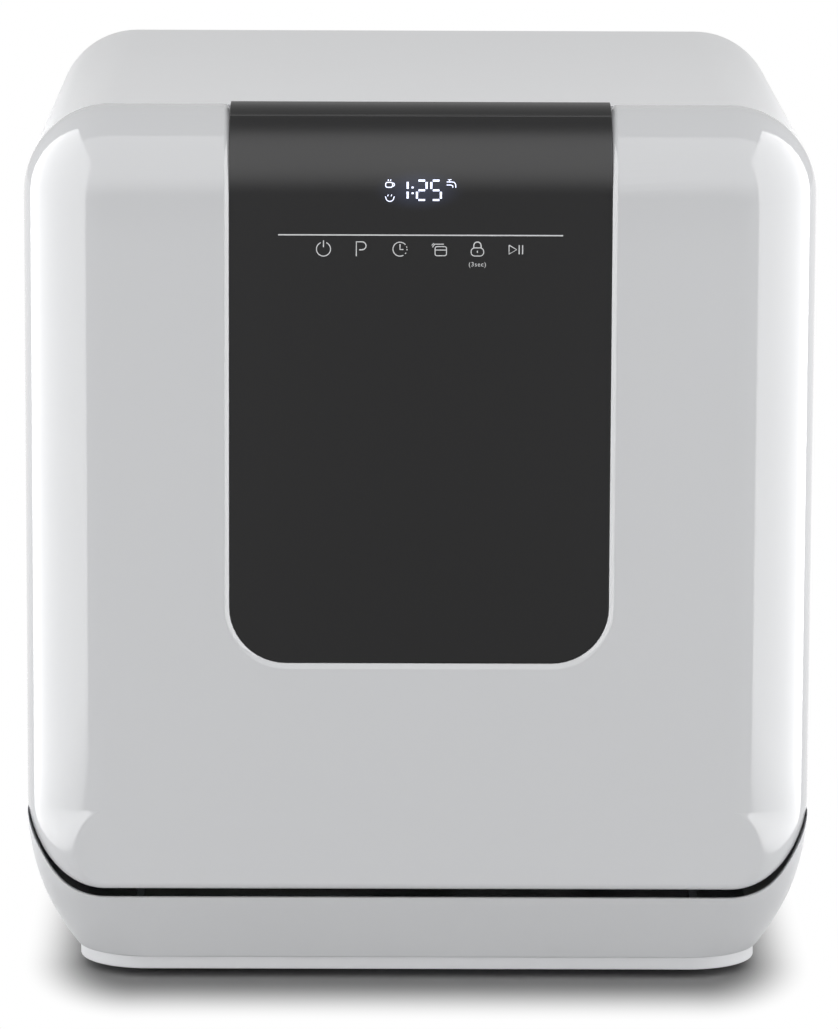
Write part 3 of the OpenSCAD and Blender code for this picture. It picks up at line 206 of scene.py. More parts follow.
gloss_white = moulded("gloss_white", srgb(219, 220, 222), 0.07, 420, 0.000004, 0.012, Specular_IOR_Level=0.22)
case_white = moulded("case_white", srgb(236, 237, 239), 0.32, 700, 0.00001, 0.015, Coat_Weight=0.2, Coat_Roughness=0.12)
base_white = moulded("base_white", srgb(207, 208, 210), 0.36, 800, 0.000015, 0.02)
strip_white = moulded("strip_white", srgb(223, 224, 226), 0.38, 800, 0.000015, 0.02)
steel_tub = brushed("steel_tub", srgb(196, 197, 199), 0.26, (1, 0.03, 1))
steel_door = brushed("steel_door", srgb(200, 201, 203), 0.24, (0.03, 1, 1))
zinc = spangled("zinc", srgb(176, 179, 183), 0.34)
bright_steel = brushed("bright_steel", srgb(205, 206, 208), 0.2, (1, 1, 0.05))
wire_coat = moulded("wire_coat", srgb(188, 191, 195), 0.34, 600, 0.00002, 0.05, Coat_Weight=0.3, Coat_Roughness=0.15)
soft_rubber = moulded("soft_rubber", srgb(58, 59, 61), 0.72, 1200, 0.00004, 0.12)
grey_rubber = moulded("grey_rubber", srgb(112, 114, 117), 0.62, 900, 0.00003, 0.08)
grey_plastic = moulded("grey_plastic", srgb(150, 153, 157), 0.44, 1400, 0.00004, 0.04)
pale_plastic = moulded("pale_plastic", srgb(214, 216, 218), 0.4, 1300, 0.00003, 0.03)
dark_plastic = moulded("dark_plastic", srgb(52, 54, 57), 0.48, 1400, 0.00005, 0.08)
blue_plastic = moulded("blue_plastic", srgb(74, 118, 176), 0.36, 900, 0.00002, 0.06)


def charcoal_finish():
    """Satin charcoal plate with a fine sparkling grain; round the display a soft bluish glow is painted into its
    emission, a painted halo of the lit digits.
    """
    f = Finish("charcoal", Specular_IOR_Level=0.26)
    grain = f.noise(2600, 2)
    x, _, z = f.axes()
    # a soft bluish glow painted into the plate's emission round the display: a painted halo, the plate itself gives no
    # light
    aside, above = (x + 0.001) / 0.026, (z - 0.4255) / 0.012
    painted_halo = (1 - (aside * aside + above * above)).clamped() ** 2
    f.shader.inputs["Emission Strength"].default_value = 0.05
    return f.feed(
        Base_Color=f.mix(grain, srgb(4, 4, 5), srgb(17, 17, 18)),
        Roughness=0.32 + 0.08 * f.noise(900, 2),
        Normal=f.bump(f.noise(2200, 1), 0.3, 0.00004),
        Emission_Color=f.mix(painted_halo, (0, 0, 0, 1), srgb(170, 190, 255)),
    )


charcoal = charcoal_finish()


def perforated(name, colour, hole_shade, pitch, rough, metallic):
    """A plate with rows of small round holes, drawn as dark dots: painted shade of the holes and of the dark sump seen
    through them.
    """
    f = Finish(name, Metallic=metallic)
    x, y, z = f.axes()
    turn = 2 * math.pi / (pitch * MM)
    rows = (x * turn).sine() * (y * turn).sine() + (z * turn * 0.5).sine() * 0.02
    holes = rows > 0.35
    # where the holes are, the plate is painted dark: painted shade in place of real openings
    return f.feed(
        Base_Color=f.mix(holes, colour, hole_shade),
        Roughness=rough + 0.3 * holes,
        Normal=f.bump(1 - holes, 0.6, 0.0002),
    )


filter_steel = perforated("filter_steel", srgb(186, 188, 190), srgb(20), 3.2, 0.3, 1.0)
filter_mesh = perforated("filter_mesh", srgb(150, 153, 157), srgb(60), 2.0, 0.45, 0.0)


def board_finish():
    """Circuit board: green lacquer over copper tracks."""
    f = Finish("circuit_green", Coat_Weight=0.4)
    x, _, z = f.axes()
    tracks = ((x * 900).sine() * (z * 700).sine() + 0.5 * (f.noise(60, 1) - 0.5)) > 0.55
    return f.feed(
        Base_Color=f.mix(tracks, srgb(28, 84, 52), srgb(74, 130, 84)),
        Roughness=0.35 + 0.1 * f.noise(200),
        Normal=f.bump(tracks, 0.3, 0.00004),
    )


circuit_green = board_finish()


def printed_finish(name, colour, strength):
    f = Finish(name)
    f.shader.inputs["Emission Strength"].default_value = strength
    ink = f.mix(f.noise(2500, 1), tuple(c * 0.9 for c in colour[:3]) + (1.0,), colour)
    return f.feed(Base_Color=ink, Emission_Color=ink, Roughness=0.5 + 0.1 * f.noise(1500))


# the white print also glows faintly (emission 0.06): a painted glow, since ink gives no light
white_print = printed_finish("white_print", srgb(205, 206, 208), 0.06)
lit_digits = printed_finish("lit_digits", srgb(222, 228, 255), 1.15)

# ---------- how the pieces are made ----------


def pick(*pieces):
    """Leaves only these pieces selected, the first of them active."""
    bpy.ops.object.select_all(action="DESELECT")
    for piece in pieces:
        piece.select_set(True)
    bpy.context.view_layer.objects.active = pieces[0]


def merge(piece):
    """Closes the piece where points meet, and turns its faces outwards."""
    pick(piece)
    bpy.ops.object.mode_set(mode="EDIT")
    bpy.ops.mesh.select_all(action="SELECT")
    bpy.ops.mesh.remove_doubles(threshold=1e-6)
    bpy.ops.mesh.normals_make_consistent(inside=False)
    bpy.ops.object.mode_set(mode="OBJECT")
    return piece


def shape(name, points, faces):
    """A mesh from points in millimetres."""
    mesh = bpy.data.meshes.new(name)
    mesh.from_pydata([Vector(p) * MM for p in points], [], faces)
    piece = bpy.data.objects.new(name, mesh)
    bpy.context.scene.collection.objects.link(piece)
    return merge(piece)


def loft(name, rings, looped=False):
    """Joins rings of points; the last ring meets the first, or both ends are capped."""
    n, rows = len(rings[0]), len(rings)
    faces = []
    for i in range(rows if looped else rows - 1):
        a, b = i * n, (i + 1) % rows * n
        faces += [(a + j, b + j, b + (j + 1) % n, a + (j + 1) % n) for j in range(n)]
    if not looped:
        faces += [tuple(range(n)), tuple((rows - 1) * n + j for j in reversed(range(n)))]
    return shape(name, [p for ring in rings for p in ring], faces)


def modify(piece, kind, **settings):
    modifier = piece.modifiers.new(kind.lower(), kind)
    for key, value in settings.items():
        setattr(modifier, key, value)
    pick(piece)
    bpy.ops.object.modifier_apply(modifier=modifier.name)


def cut(piece, cutter):
    modify(piece, "BOOLEAN", operation="DIFFERENCE", solver="EXACT", object=cutter)
    bpy.data.objects.remove(cutter)


def bevel_edges(piece, width, segments, chosen):
    """Rounds the edges that chosen(edge) accepts; edges are in metres."""
    pick(piece)
    bpy.ops.object.mode_set(mode="EDIT")
    bpy.ops.mesh.select_mode(type="EDGE")
    bpy.ops.mesh.select_all(action="DESELECT")
    mesh = bmesh.from_edit_mesh(piece.data)
    for edge in mesh.edges:
        edge.select_set(len(edge.link_faces) == 2 and chosen(edge))
    bmesh.update_edit_mesh(piece.data)
    bpy.ops.mesh.bevel(offset=width * MM, segments=segments, affect="EDGES", clamp_overlap=True)
    bpy.ops.object.mode_set(mode="OBJECT")


def place(piece, body, finish, replaces=(), angle=32, weighted=False):
    """Gives a finished piece its shading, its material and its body."""
    piece.data.materials.clear()
    piece.data.materials.append(finish)
    pick(piece)
    bpy.ops.object.shade_smooth_by_angle(angle=math.radians(angle))
    if weighted:
        modify(piece, "WEIGHTED_NORMAL", keep_sharp=True)
    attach(piece, body)
    if replaces:
        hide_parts(*replaces)
    return piece


def bent(path, radius, steps=5):
    """A path with its inner corners rounded."""
    points = [Vector(p) for p in path]
    result = [points[0]]
    for before, corner, after in zip(points, points[1:], points[2:]):
        into, out = (before - corner).normalized(), (after - corner).normalized()
        half = into.angle(out) / 2
        reach = radius / math.tan(half)
        centre = corner + (into + out).normalized() * radius / math.sin(half)
        start, end = corner + into * reach - centre, corner + out * reach - centre
        result += [centre + start.slerp(end, i / steps) * radius for i in range(steps + 1)]
    return result + [points[-1]]


def tubes(name, paths, radius, looped=False, detail=1):
    """Round wires along paths, as one mesh."""
    curve = bpy.data.curves.new(name, "CURVE")
    curve.dimensions = "3D"
    curve.bevel_depth = radius * MM
    curve.bevel_resolution = detail
    curve.use_fill_caps = True
    for path in paths:
        spline = curve.splines.new("POLY")
        spline.points.add(len(path) - 1)
        for point, at in zip(spline.points, path):
            point.co = (*(Vector(at) * MM), 1)
        spline.use_cyclic_u = looped
    piece = bpy.data.objects.new(name, curve)
    bpy.context.scene.collection.objects.link(piece)
    pick(piece)
    bpy.ops.object.convert(target="MESH")
    return merge(bpy.context.object)


def join(*pieces):
    pick(*pieces)
    bpy.ops.object.join()
    return bpy.context.object


# ---------- sizes of the body ----------

HALF_W, FRONT, REAR, TOP = 210.0, -217.5, 217.5, 465.0
FLANK_R, FLANK_Z = 128.0, 90.0
CROWN_R = 46.0
SEAM_Y, CASE_Y = -165.0, -163.5
ROLL_R, LIP_R = 44.0, 4.0
DOOR_LOW, DOOR_GAP, DOOR_WALL = 49.6, 4.3, 3.6
CORNER_R, CORNER_X, CORNER_Z = 43.0, 167.0, 92.6
BASE_LOW, BASE_TOP, BASE_LEAN, BASE_CORNER = 11.4, 45.3, 5.5, 38.0
PLINTH_LOW = 4.5
HINGE_X, PIVOT_Y = 150.0, -210.0
ROLL_STEPS = 18
CORNER_STEPS = 20


def quarter(steps):
    return [math.pi / 2 * i / steps for i in range(steps + 1)]


def flank_half(z):
    return HALF_W - FLANK_R + math.sqrt(FLANK_R**2 - max(FLANK_Z - z, 0) ** 2)


# ---------- door shell ----------


def door_outline():
    """(x, z, inward x, inward z, roll radius) round the door, from the top right corner."""
    points = []
    for k in range(4):
        top, right = k < 2, k in (0, 3)
        r = CROWN_R if top else CORNER_R
        cx, cz = (1 if right else -1) * (HALF_W - r), TOP - r if top else CORNER_Z
        for turn in quarter(CORNER_STEPS):
            t = math.pi / 2 * k + turn
            roll = ROLL_R if top else ROLL_R + (LIP_R - ROLL_R) * math.sin(t) ** 2
            points.append((cx + r * math.cos(t), cz + r * math.sin(t), -math.cos(t), -math.sin(t), roll))
    return points


def door_ring(wall, angle):
    ring = []
    for x, z, nx, nz, roll in door_outline():
        r = max(roll - wall, 1.0)
        shift = wall + r * (1 - math.cos(angle))
        ring.append((x + nx * shift, FRONT + wall + r * (1 - math.sin(angle)), z + nz * shift))
    return ring


def seam_ring(inset, y):
    return [(x + nx * inset, y, z + nz * inset) for x, z, nx, nz, _ in door_outline()]


# The panel lies in a shallow bed: its face is behind the door's, and over the roll it comes a little proud
BED_DEPTH, PANEL_RISE = 1.9, 1.35
PANEL_HALF, PANEL_LOW, PANEL_CORNER = 100.4, 173.0, 30.0
PANEL_R = ROLL_R + PANEL_RISE - BED_DEPTH
PANEL_Y, PANEL_Z = FRONT + BED_DEPTH + PANEL_R, TOP + PANEL_RISE - PANEL_R
SHOULDER_R, BED_GAP = 10.5, 0.25
SHOULDER_TURNS = (27, 31, 35, 39, 43)


def roll_point(x, s, depth, radius, y, z):
    """A point of a face that is upright up to height z, then rolls over to the top; s runs along it."""
    if s <= z:
        return (x, y - radius + depth, s)
    angle = min((s - z) / radius, math.pi / 2)
    beyond = s - z - radius * math.pi / 2
    return (x, y - (radius - depth) * math.cos(angle) + max(beyond, 0), z + (radius - depth) * math.sin(angle))


def door_face(x, s, depth):
    return roll_point(x, s, depth, ROLL_R, FRONT + ROLL_R, TOP - ROLL_R)


def panel_face(x, s, depth):
    return roll_point(x, s, depth, PANEL_R, PANEL_Y, PANEL_Z)


def panel_rows(grow, radius, z, end):
    """(half width, s) from the panel's lower edge up over the roll."""
    rows = [(PANEL_HALF - PANEL_CORNER + (PANEL_CORNER + grow) * math.sin(t),
             PANEL_LOW + PANEL_CORNER - (PANEL_CORNER + grow) * math.cos(t)) for t in quarter(12)]
    rows += [(PANEL_HALF + grow, z + radius * t) for t in quarter(ROLL_STEPS)]
    return rows + [(PANEL_HALF + grow, z + radius * math.pi / 2 + end)]


def make_panel_bed():
    """What is cut from the door's shell: the panel's place, with a rounded shoulder round it."""
    turns = [math.radians(a) for a in SHOULDER_TURNS]
    last = turns[-1]
    levels = [(BED_GAP + SHOULDER_R * (math.sin(last) - math.sin(a)),
               BED_DEPTH + SHOULDER_R * (math.cos(last) - math.cos(a))) for a in turns]
    g, t = levels[0]
    levels = [(g + 1.2, -3.0), (g + 0.9, t - 0.25), (g + 0.4, t - 0.14)] + levels + [(BED_GAP, 12.0)]
    rings = []
    for grow, depth in levels:
        rows = panel_rows(grow, ROLL_R, TOP - ROLL_R, 14)
        rings.append([door_face(w, s, depth) for w, s in rows] + [door_face(-w, s, depth) for w, s in reversed(rows)])
    n = len(rings[0])
    faces = []
    for i in range(len(rings) - 1):
        a, b = i * n, (i + 1) * n
        faces += [(a + j, b + j, b + (j + 1) % n, a + (j + 1) % n) for j in range(n)]
    for base in (0, (len(rings) - 1) * n):
        faces += [(base + j, base + j + 1, base + n - 2 - j, base + n - 1 - j) for j in range(n // 2 - 1)]
    return shape("panel_bed", [p for ring in rings for p in ring], faces)


def block(name, low, high):
    """A box between two corners, for a cut."""
    bpy.ops.mesh.primitive_cube_add(size=1)
    piece = bpy.context.object
    piece.name = name
    centre = [(a + b) / 2 * MM for a, b in zip(low, high)]
    piece.matrix_world = Matrix.Translation(centre) @ Matrix.Diagonal([(b - a) * MM for a, b in zip(low, high)] + [1])
    pick(piece)
    bpy.ops.object.transform_apply()
    return piece


def make_door_shell():
    outer = [seam_ring(1.0, SEAM_Y), seam_ring(0.3, SEAM_Y - 0.3), seam_ring(0.0, SEAM_Y - 1.0)]
    outer += [door_ring(0, a) for a in quarter(ROLL_STEPS)]
    inner = [seam_ring(DOOR_WALL, SEAM_Y)] + [door_ring(DOOR_WALL, a) for a in quarter(8)]
    n = len(outer[0])
    rings = outer + inner
    faces = []
    for i in range(len(outer) - 1):
        faces += [(i * n + j, (i + 1) * n + j, (i + 1) * n + (j + 1) % n, i * n + (j + 1) % n) for j in range(n)]
    for i in range(len(outer), len(rings) - 1):
        faces += [((i + 1) * n + j, i * n + j, i * n + (j + 1) % n, (i + 1) * n + (j + 1) % n) for j in range(n)]
    start = len(outer) * n
    faces += [(start + j, j, (j + 1) % n, start + (j + 1) % n) for j in range(n)]
    faces += [tuple((len(outer) - 1) * n + j for j in range(n)),
              tuple((len(rings) - 1) * n + j for j in reversed(range(n)))]
    shell = shape("door_shell", [p for ring in rings for p in ring], faces)
    cut(shell, make_panel_bed())
    for side in (-1, 1):
        x = side * HINGE_X
        cut(shell, block("hinge_slot", (x - 3, PIVOT_Y - 4, DOOR_LOW - 1), (x + 3, SEAM_Y + 5, DOOR_LOW + 12)))
    return place(shell, "door", gloss_white, ["door_outer"], 30, True)


make_door_shell()

# ---------- control panel ----------

CREASE_ANGLE, CREASE_R, CREASE_DEPTH = math.radians(64), 1.0, 0.8
PANEL_T = 1.5


def make_control_panel():
    rows = [(w, s, 0.0) for w, s in panel_rows(0, PANEL_R, PANEL_Z, SEAM_Y - PANEL_Y - 0.4)]
    crease = PANEL_Z + PANEL_R * CREASE_ANGLE
    dip = [(PANEL_HALF, crease + u, math.sqrt(max(CREASE_R**2 - u * u, 0)) * CREASE_DEPTH)
           for u in (-1, -0.85, -0.5, 0, 0.5, 0.85, 1)]
    rows = sorted([r for r in rows if abs(r[1] - crease) > 1.6] + dip, key=lambda r: r[1])
    rings = []
    for w, s, depth in rows:
        rings.append([panel_face(-w, s, depth), panel_face(w, s, depth),
                      panel_face(w, s, PANEL_T), panel_face(-w, s, PANEL_T)])
    panel = loft("panel_face", rings)
    bevel_edges(panel, 0.5, 3, lambda e: e.calc_face_angle(0) > math.radians(60))
    return place(panel, "door", charcoal, ["control_panel"], 30, True)


make_control_panel()

# ---------- marks on the panel ----------

PRINT_LIFT, PRINT_FLAT = 0.05, 0.15
LINE_W, MARK_W = 0.75, 0.55
DIGIT_STROKE, COLON_STROKE, SIGN_STROKE = 1.15, 1.1, 0.5


def print_strokes(name, strokes, width, body_finish, slot, centre=(0, 0)):
    """Thin printed lines; strokes are lists of (x, s) round a centre on the panel."""
    paths = [[panel_face(centre[0] + x, centre[1] + s, 0.0) for x, s in stroke] for stroke in strokes]
    piece = tubes(name, paths, width / 2)
    for vertex in piece.data.vertices:
        at = vertex.co / MM
        if at.z < PANEL_Z:
            flat = FRONT + BED_DEPTH
            vertex.co.y = (flat + (at.y - flat) * PRINT_FLAT) * MM
        else:
            out = Vector((0, at.y - PANEL_Y, at.z - PANEL_Z))
            r = PANEL_R + (out.length - PANEL_R) * PRINT_FLAT
            out = out.normalized() * r
            vertex.co = Vector((at.x, PANEL_Y + out.y, PANEL_Z + out.z)) * MM
    return place(piece, "door", body_finish)


def arc(x, s, radius, start, end, steps=16, tall=1.0):
    angles = [math.radians(start + (end - start) * i / steps) for i in range(steps + 1)]
    return [(x + radius * math.cos(a), s + radius * tall * math.sin(a)) for a in angles]


def rounded_box(x0, s0, x1, s1, r):
    corners = [(x1 - r, s1 - r, 0), (x0 + r, s1 - r, 90), (x0 + r, s0 + r, 180), (x1 - r, s0 + r, 270)]
    path = [p for x, s, a in corners for p in arc(x, s, r, a, a + 90, 4)]
    return path + [path[0]]


def make_marks():
    """The printed line and the touch marks below it, each as its strokes round a centre."""
    ink = dict(body_finish=white_print, slot="white_case")
    print_strokes("marking_line", [[(-74.7, 401.8), (74.7, 401.8)]], LINE_W, **ink)
    letter_p = [(-2.7, -3.8), (-2.7, 3.8), (0, 3.8)] + arc(0.3, 1.7, 2.1, 90, -90, 10) + [(-1.2, -0.4)]
    dashes = [arc(0, 0, 3.7, a, a + 12, 2) for a in (318, 350, 12)]
    shackle = [(-1.9, 0.6), (-1.9, 1.8)] + arc(0, 1.8, 1.9, 180, 0, 12) + [(1.9, 0.6)]
    marks = {
        "mark_power": ((-50.9, 394.3), [arc(0, 0, 3.7, 113, 427, 24), [(0, 4.6), (0, 1.0)]]),
        "mark_programme": ((-31, 394.4), [letter_p]),
        "mark_clock": ((-10.8, 394.4), [arc(0, 0, 3.7, 40, 300, 20)] + dashes + [[(0, 2.6), (0, -0.2), (1.8, -0.2)]]),
        "mark_door": ((9.8, 394.2), [rounded_box(-2.2, -3.2, 3.8, 1.6, 1.0), [(-2.2, -0.2), (3.8, -0.2)],
                                     [(-3.6, 1.2), (-2.4, 2.9), (2.4, 2.9)], [(-3.9, 2.2), (-2.9, 3.4)]]),
        "mark_lock": ((29.8, 394.6), [rounded_box(-3.3, -3.7, 3.3, 0.6, 1.9), shackle, [(0, -0.9), (0, -2.0)]]),
        "mark_start": ((50.0, 394.3), [[(-3.6, 2.4), (-3.6, -2.4), (0.4, 0), (-3.6, 2.4)],
                                       [(1.7, 2.4), (1.7, -2.4)], [(3.5, 2.4), (3.5, -2.4)]]),
    }
    for name, (centre, strokes) in marks.items():
        print_strokes(name, strokes, MARK_W, centre=centre, **ink)


make_marks()


def lettering(name, text, height, x, s, finish):
    """Small generic lettering laid on the panel, centred on x."""
    bpy.ops.object.text_add()
    words = bpy.context.object
    words.name = name
    words.data.body = text
    words.data.size = height * MM
    words.data.align_x = "CENTER"
    words.data.align_y = "CENTER"
    words.data.extrude = 0.03 * MM
    words.data.space_character = 1.15
    at = Vector((x, FRONT + BED_DEPTH - PRINT_LIFT, s)) * MM
    words.matrix_world = Matrix.Translation(at) @ Matrix.Rotation(math.pi / 2, 4, "X")
    pick(words)
    bpy.ops.object.convert(target="MESH")
    words = bpy.context.object
    bpy.ops.object.transform_apply()
    merge(words)
    return place(words, "door", finish)


lettering("mark_seconds", "(3sec)", 3.3, 29.8, 386.4, white_print)

DIGIT_W, DIGIT_H, DIGIT_LOW = 5.0, 10.2, 420.4
SEGMENTS = {"a": ((0, 1), (1, 1)), "b": ((1, 1), (1, 0.5)), "c": ((1, 0.5), (1, 0)), "d": ((0, 0), (1, 0)),
            "e": ((0, 0.5), (0, 0)), "f": ((0, 1), (0, 0.5)), "g": ((0, 0.5), (1, 0.5))}
DIGITS = {"1": "bc", "2": "abged", "5": "afgcd"}


def make_display():
    """The time left, in lit seven-segment digits, and three small lit signs."""
    bars = []
    for digit, x in (("1", -11.9), ("2", -2.0), ("5", 5.5)):
        for letter in DIGITS[digit]:
            (x0, s0), (x1, s1) = SEGMENTS[letter]
            a = Vector((x + x0 * DIGIT_W, DIGIT_LOW + s0 * DIGIT_H))
            b = Vector((x + x1 * DIGIT_W, DIGIT_LOW + s1 * DIGIT_H))
            gap = (b - a).normalized() * 0.75
            bars.append([tuple(a + gap), tuple(b - gap)])
    lit = dict(body_finish=lit_digits, slot="display")
    colon = [[(-4.3, 427.4), (-4.3, 426.5)], [(-4.3, 424.4), (-4.3, 423.5)]]
    print_strokes("lit_time", bars, DIGIT_STROKE, **lit)
    print_strokes("lit_colon", colon, COLON_STROKE, **lit)
    tap = [[(-2.4, 1.4), (0.4, 1.4), (1.6, 1.2), (2.3, 0.2), (2.4, -1.6)],
           [(-2.4, -0.2), (0.0, -0.2), (0.8, -0.6), (0.9, -1.6)],
           [(-0.9, 1.4), (-0.9, 2.4), (-1.8, 2.6), (0.1, 2.6)]]
    cup = [rounded_box(-2.2, -1.6, 1.4, 1.0, 0.9), arc(1.5, -0.2, 0.9, 80, -80, 6),
           [(-1.0, 1.8), (-0.6, 2.5)], [(0.2, 1.8), (0.6, 2.5)]]
    basin = [[(-2.4, 0.8)] + arc(0, 0.2, 2.1, 180, 360, 10, 0.95) + [(2.4, 0.8)],
             [(-1.2, 0.9), (-0.8, 1.8)], [(0.6, 0.9), (1.0, 1.8)]]
    signs = {"lit_tap": (tap, (15.9, 428.5)), "lit_cup": (cup, (-16.2, 428.6)), "lit_basin": (basin, (-16.2, 421.4))}
    for name, (strokes, centre) in signs.items():
        print_strokes(name, strokes, SIGN_STROKE, centre=centre, **lit)


make_display()

# ---------- case ----------


def case_half(z):
    """Half width of the case at height z, where its foot curves in."""
    half = flank_half(z)
    if z < CORNER_Z:
        half = min(half, CORNER_X + math.sqrt(max((CORNER_R + DOOR_GAP) ** 2 - (CORNER_Z - z) ** 2, 0)))
    return half


def case_path():
    """The case's section: (x, z, inward x, inward z), from its right foot over the top to its left foot."""
    right = []
    for t in quarter(24):
        z = CORNER_Z - (CORNER_R + DOOR_GAP) * math.cos(t)
        right.append((case_half(z), z))
    right += [(HALF_W, TOP - CROWN_R - 160), (HALF_W, TOP - CROWN_R)]
    crown = [(HALF_W - CROWN_R + CROWN_R * math.cos(t), TOP - CROWN_R + CROWN_R * math.sin(t)) for t in quarter(20)[1:]]
    half = right + crown
    path = half + [(-x, z) for x, z in reversed(half)]
    result = []
    for i, (x, z) in enumerate(path):
        before, after = path[max(i - 1, 0)], path[min(i + 1, len(path) - 1)]
        run = Vector((after[0] - before[0], after[1] - before[1])).normalized()
        result.append((x, z, -run.y, run.x))
    return result


def make_case():
    profile = [(12.0, 0.0), (1.0, 0.0), (0.3, 0.3), (0.0, 1.0), (0.0, -1.6), (0.5, -0.5),
               (1.6, 0.0), (12.0, 0.0), (12.0, -2.0), (2.0, -2.0), (2.0, 2.0), (12.0, 2.0)]
    fronts = {0, 1, 2, 3, 10, 11}
    rings = []
    for x, z, nx, nz in case_path():
        ring = []
        for i, (inset, dy) in enumerate(profile):
            y = (CASE_Y if i in fronts else REAR) + dy
            ring.append((x + nx * inset, y, z + nz * inset))
        rings.append(ring)
    return place(loft("case_cover", rings), "cabinet", case_white, ["case_shell"], 30, True)


make_case()

# ---------- base and plinth ----------


def base_ring(z, inset, rear):
    half = flank_half(z) - inset
    y = FRONT + BASE_LEAN * max(BASE_TOP - z, 0) / (BASE_TOP - BASE_LOW) + inset
    r = BASE_CORNER - inset
    right = [(half - r + r * math.sin(t), y + r - r * math.cos(t), z) for t in quarter(16)]
    return right + [(half, rear, z), (-half, rear, z)] + [(-px, py, pz) for px, py, pz in reversed(right)]


GAP_FROM, GAP_OVER, GAP_END = 18, 40, 0.5
HORN_TOP, BASE_WALL, BASE_EDGE = 92, 3.0, 0.8


def closing_gap(turn):
    """The gap under the door closes as the base's edge climbs round the door's corner."""
    share = min(max((math.degrees(turn) - GAP_FROM) / GAP_OVER, 0), 1)
    return DOOR_GAP + (GAP_END - DOOR_GAP) * share * share * (3 - 2 * share)


def cradle(gap, front):
    """The curve that the base's top edge follows round the door, as a cutter that starts at y = front."""
    points = [(CORNER_X + (CORNER_R + gap(t)) * math.sin(t), CORNER_Z - (CORNER_R + gap(t)) * math.cos(t))
              for t in quarter(40)]
    points = points + [(points[-1][0], 520)]
    outline = points + [(-x, z) for x, z in reversed(points)]
    return loft("cradle_cut", [[(x, front, z) for x, z in outline], [(x, REAR + 3, z) for x, z in outline]])


def make_base():
    heights = [BASE_LOW + (BASE_TOP - BASE_LOW) * i / 8 for i in range(9)]
    heights += [BASE_TOP + (HORN_TOP - BASE_TOP) * i / 12 for i in range(1, 13)]
    foot = [base_ring(BASE_LOW, 0.8, REAR - 0.8), base_ring(BASE_LOW + 0.3, 0.25, REAR - 0.2)]
    heights[0] = BASE_LOW + 1.0
    outer = foot + [base_ring(z, 0, REAR) for z in heights]
    inner = [base_ring(z, BASE_WALL, REAR - BASE_WALL) for z in reversed(heights[1:])]
    inner.append(base_ring(BASE_LOW + BASE_WALL, BASE_WALL, REAR - BASE_WALL))
    tray = loft("base_cradle", outer + inner)
    cut(tray, cradle(closing_gap, FRONT - 3))

    def on_cut(edge):
        for vertex in edge.verts:
            x, z = abs(vertex.co.x) / MM, vertex.co.z / MM
            turn = math.atan2(x - CORNER_X, CORNER_Z - z)
            away = math.hypot(x - CORNER_X, CORNER_Z - z) - CORNER_R - closing_gap(turn)
            near = abs(z - BASE_TOP) if x < CORNER_X else abs(away)
            if near > 0.06:
                return False
        return edge.calc_face_angle(0) > math.radians(35)

    bevel_edges(tray, BASE_EDGE, 3, on_cut)
    # behind the door's seam the case stands in the base, so there the gap keeps its width
    cut(tray, cradle(lambda turn: DOOR_GAP + 0.02, CASE_Y - 0.2))
    return place(tray, "cabinet", base_white, ["base_tray"], 32, True)


make_base()


def plinth_ring(z, inset):
    half, y, r = 181.8 - inset, FRONT + BASE_LEAN + 1.2 + inset, 36.8 - inset
    right = [(half - r + r * math.sin(t), y + r - r * math.cos(t), z) for t in quarter(16)]
    rear = REAR - 1.2 - inset
    return right + [(half, rear, z), (-half, rear, z)] + [(-px, py, pz) for px, py, pz in reversed(right)]


def make_plinth():
    rings = [plinth_ring(PLINTH_LOW, 0.9), plinth_ring(PLINTH_LOW + 0.3, 0.3), plinth_ring(PLINTH_LOW + 1, 0),
             plinth_ring(BASE_LOW, 0), plinth_ring(BASE_LOW, 3), plinth_ring(PLINTH_LOW + 2, 3)]
    return place(loft("plinth_ring", rings), "cabinet", strip_white, ["plinth"], 32, True)


make_plinth()

# ---------- rack, tines and cup shelf in round coated wire ----------

FLOOR_Z, CROSS_Z = 131.5, 133.9
FLOOR_X, FLOOR_Y0, FLOOR_Y1 = 144.0, -134.0, 138.0
RIM_X, RIM_Y0, RIM_Y1, RIM_Z = 152.0, -142.0, 146.0, 236.0
BAND_Z, BAND_OUT = 207.76, 2.1
WIRE_R, RIM_R = 1.5, 2.0
FLOOR_WIRES, CROSS_WIRES = 10, 7
CROSS_STEP = (FLOOR_Y1 - FLOOR_Y0) / CROSS_WIRES
TINE_ROWS, TINE_H, TINE_LEAN, TINE_RAIL_UP = (-70, -22, 26), 62.0, 5, 4.8
BEND_R, RIM_BEND_R = 9, 10


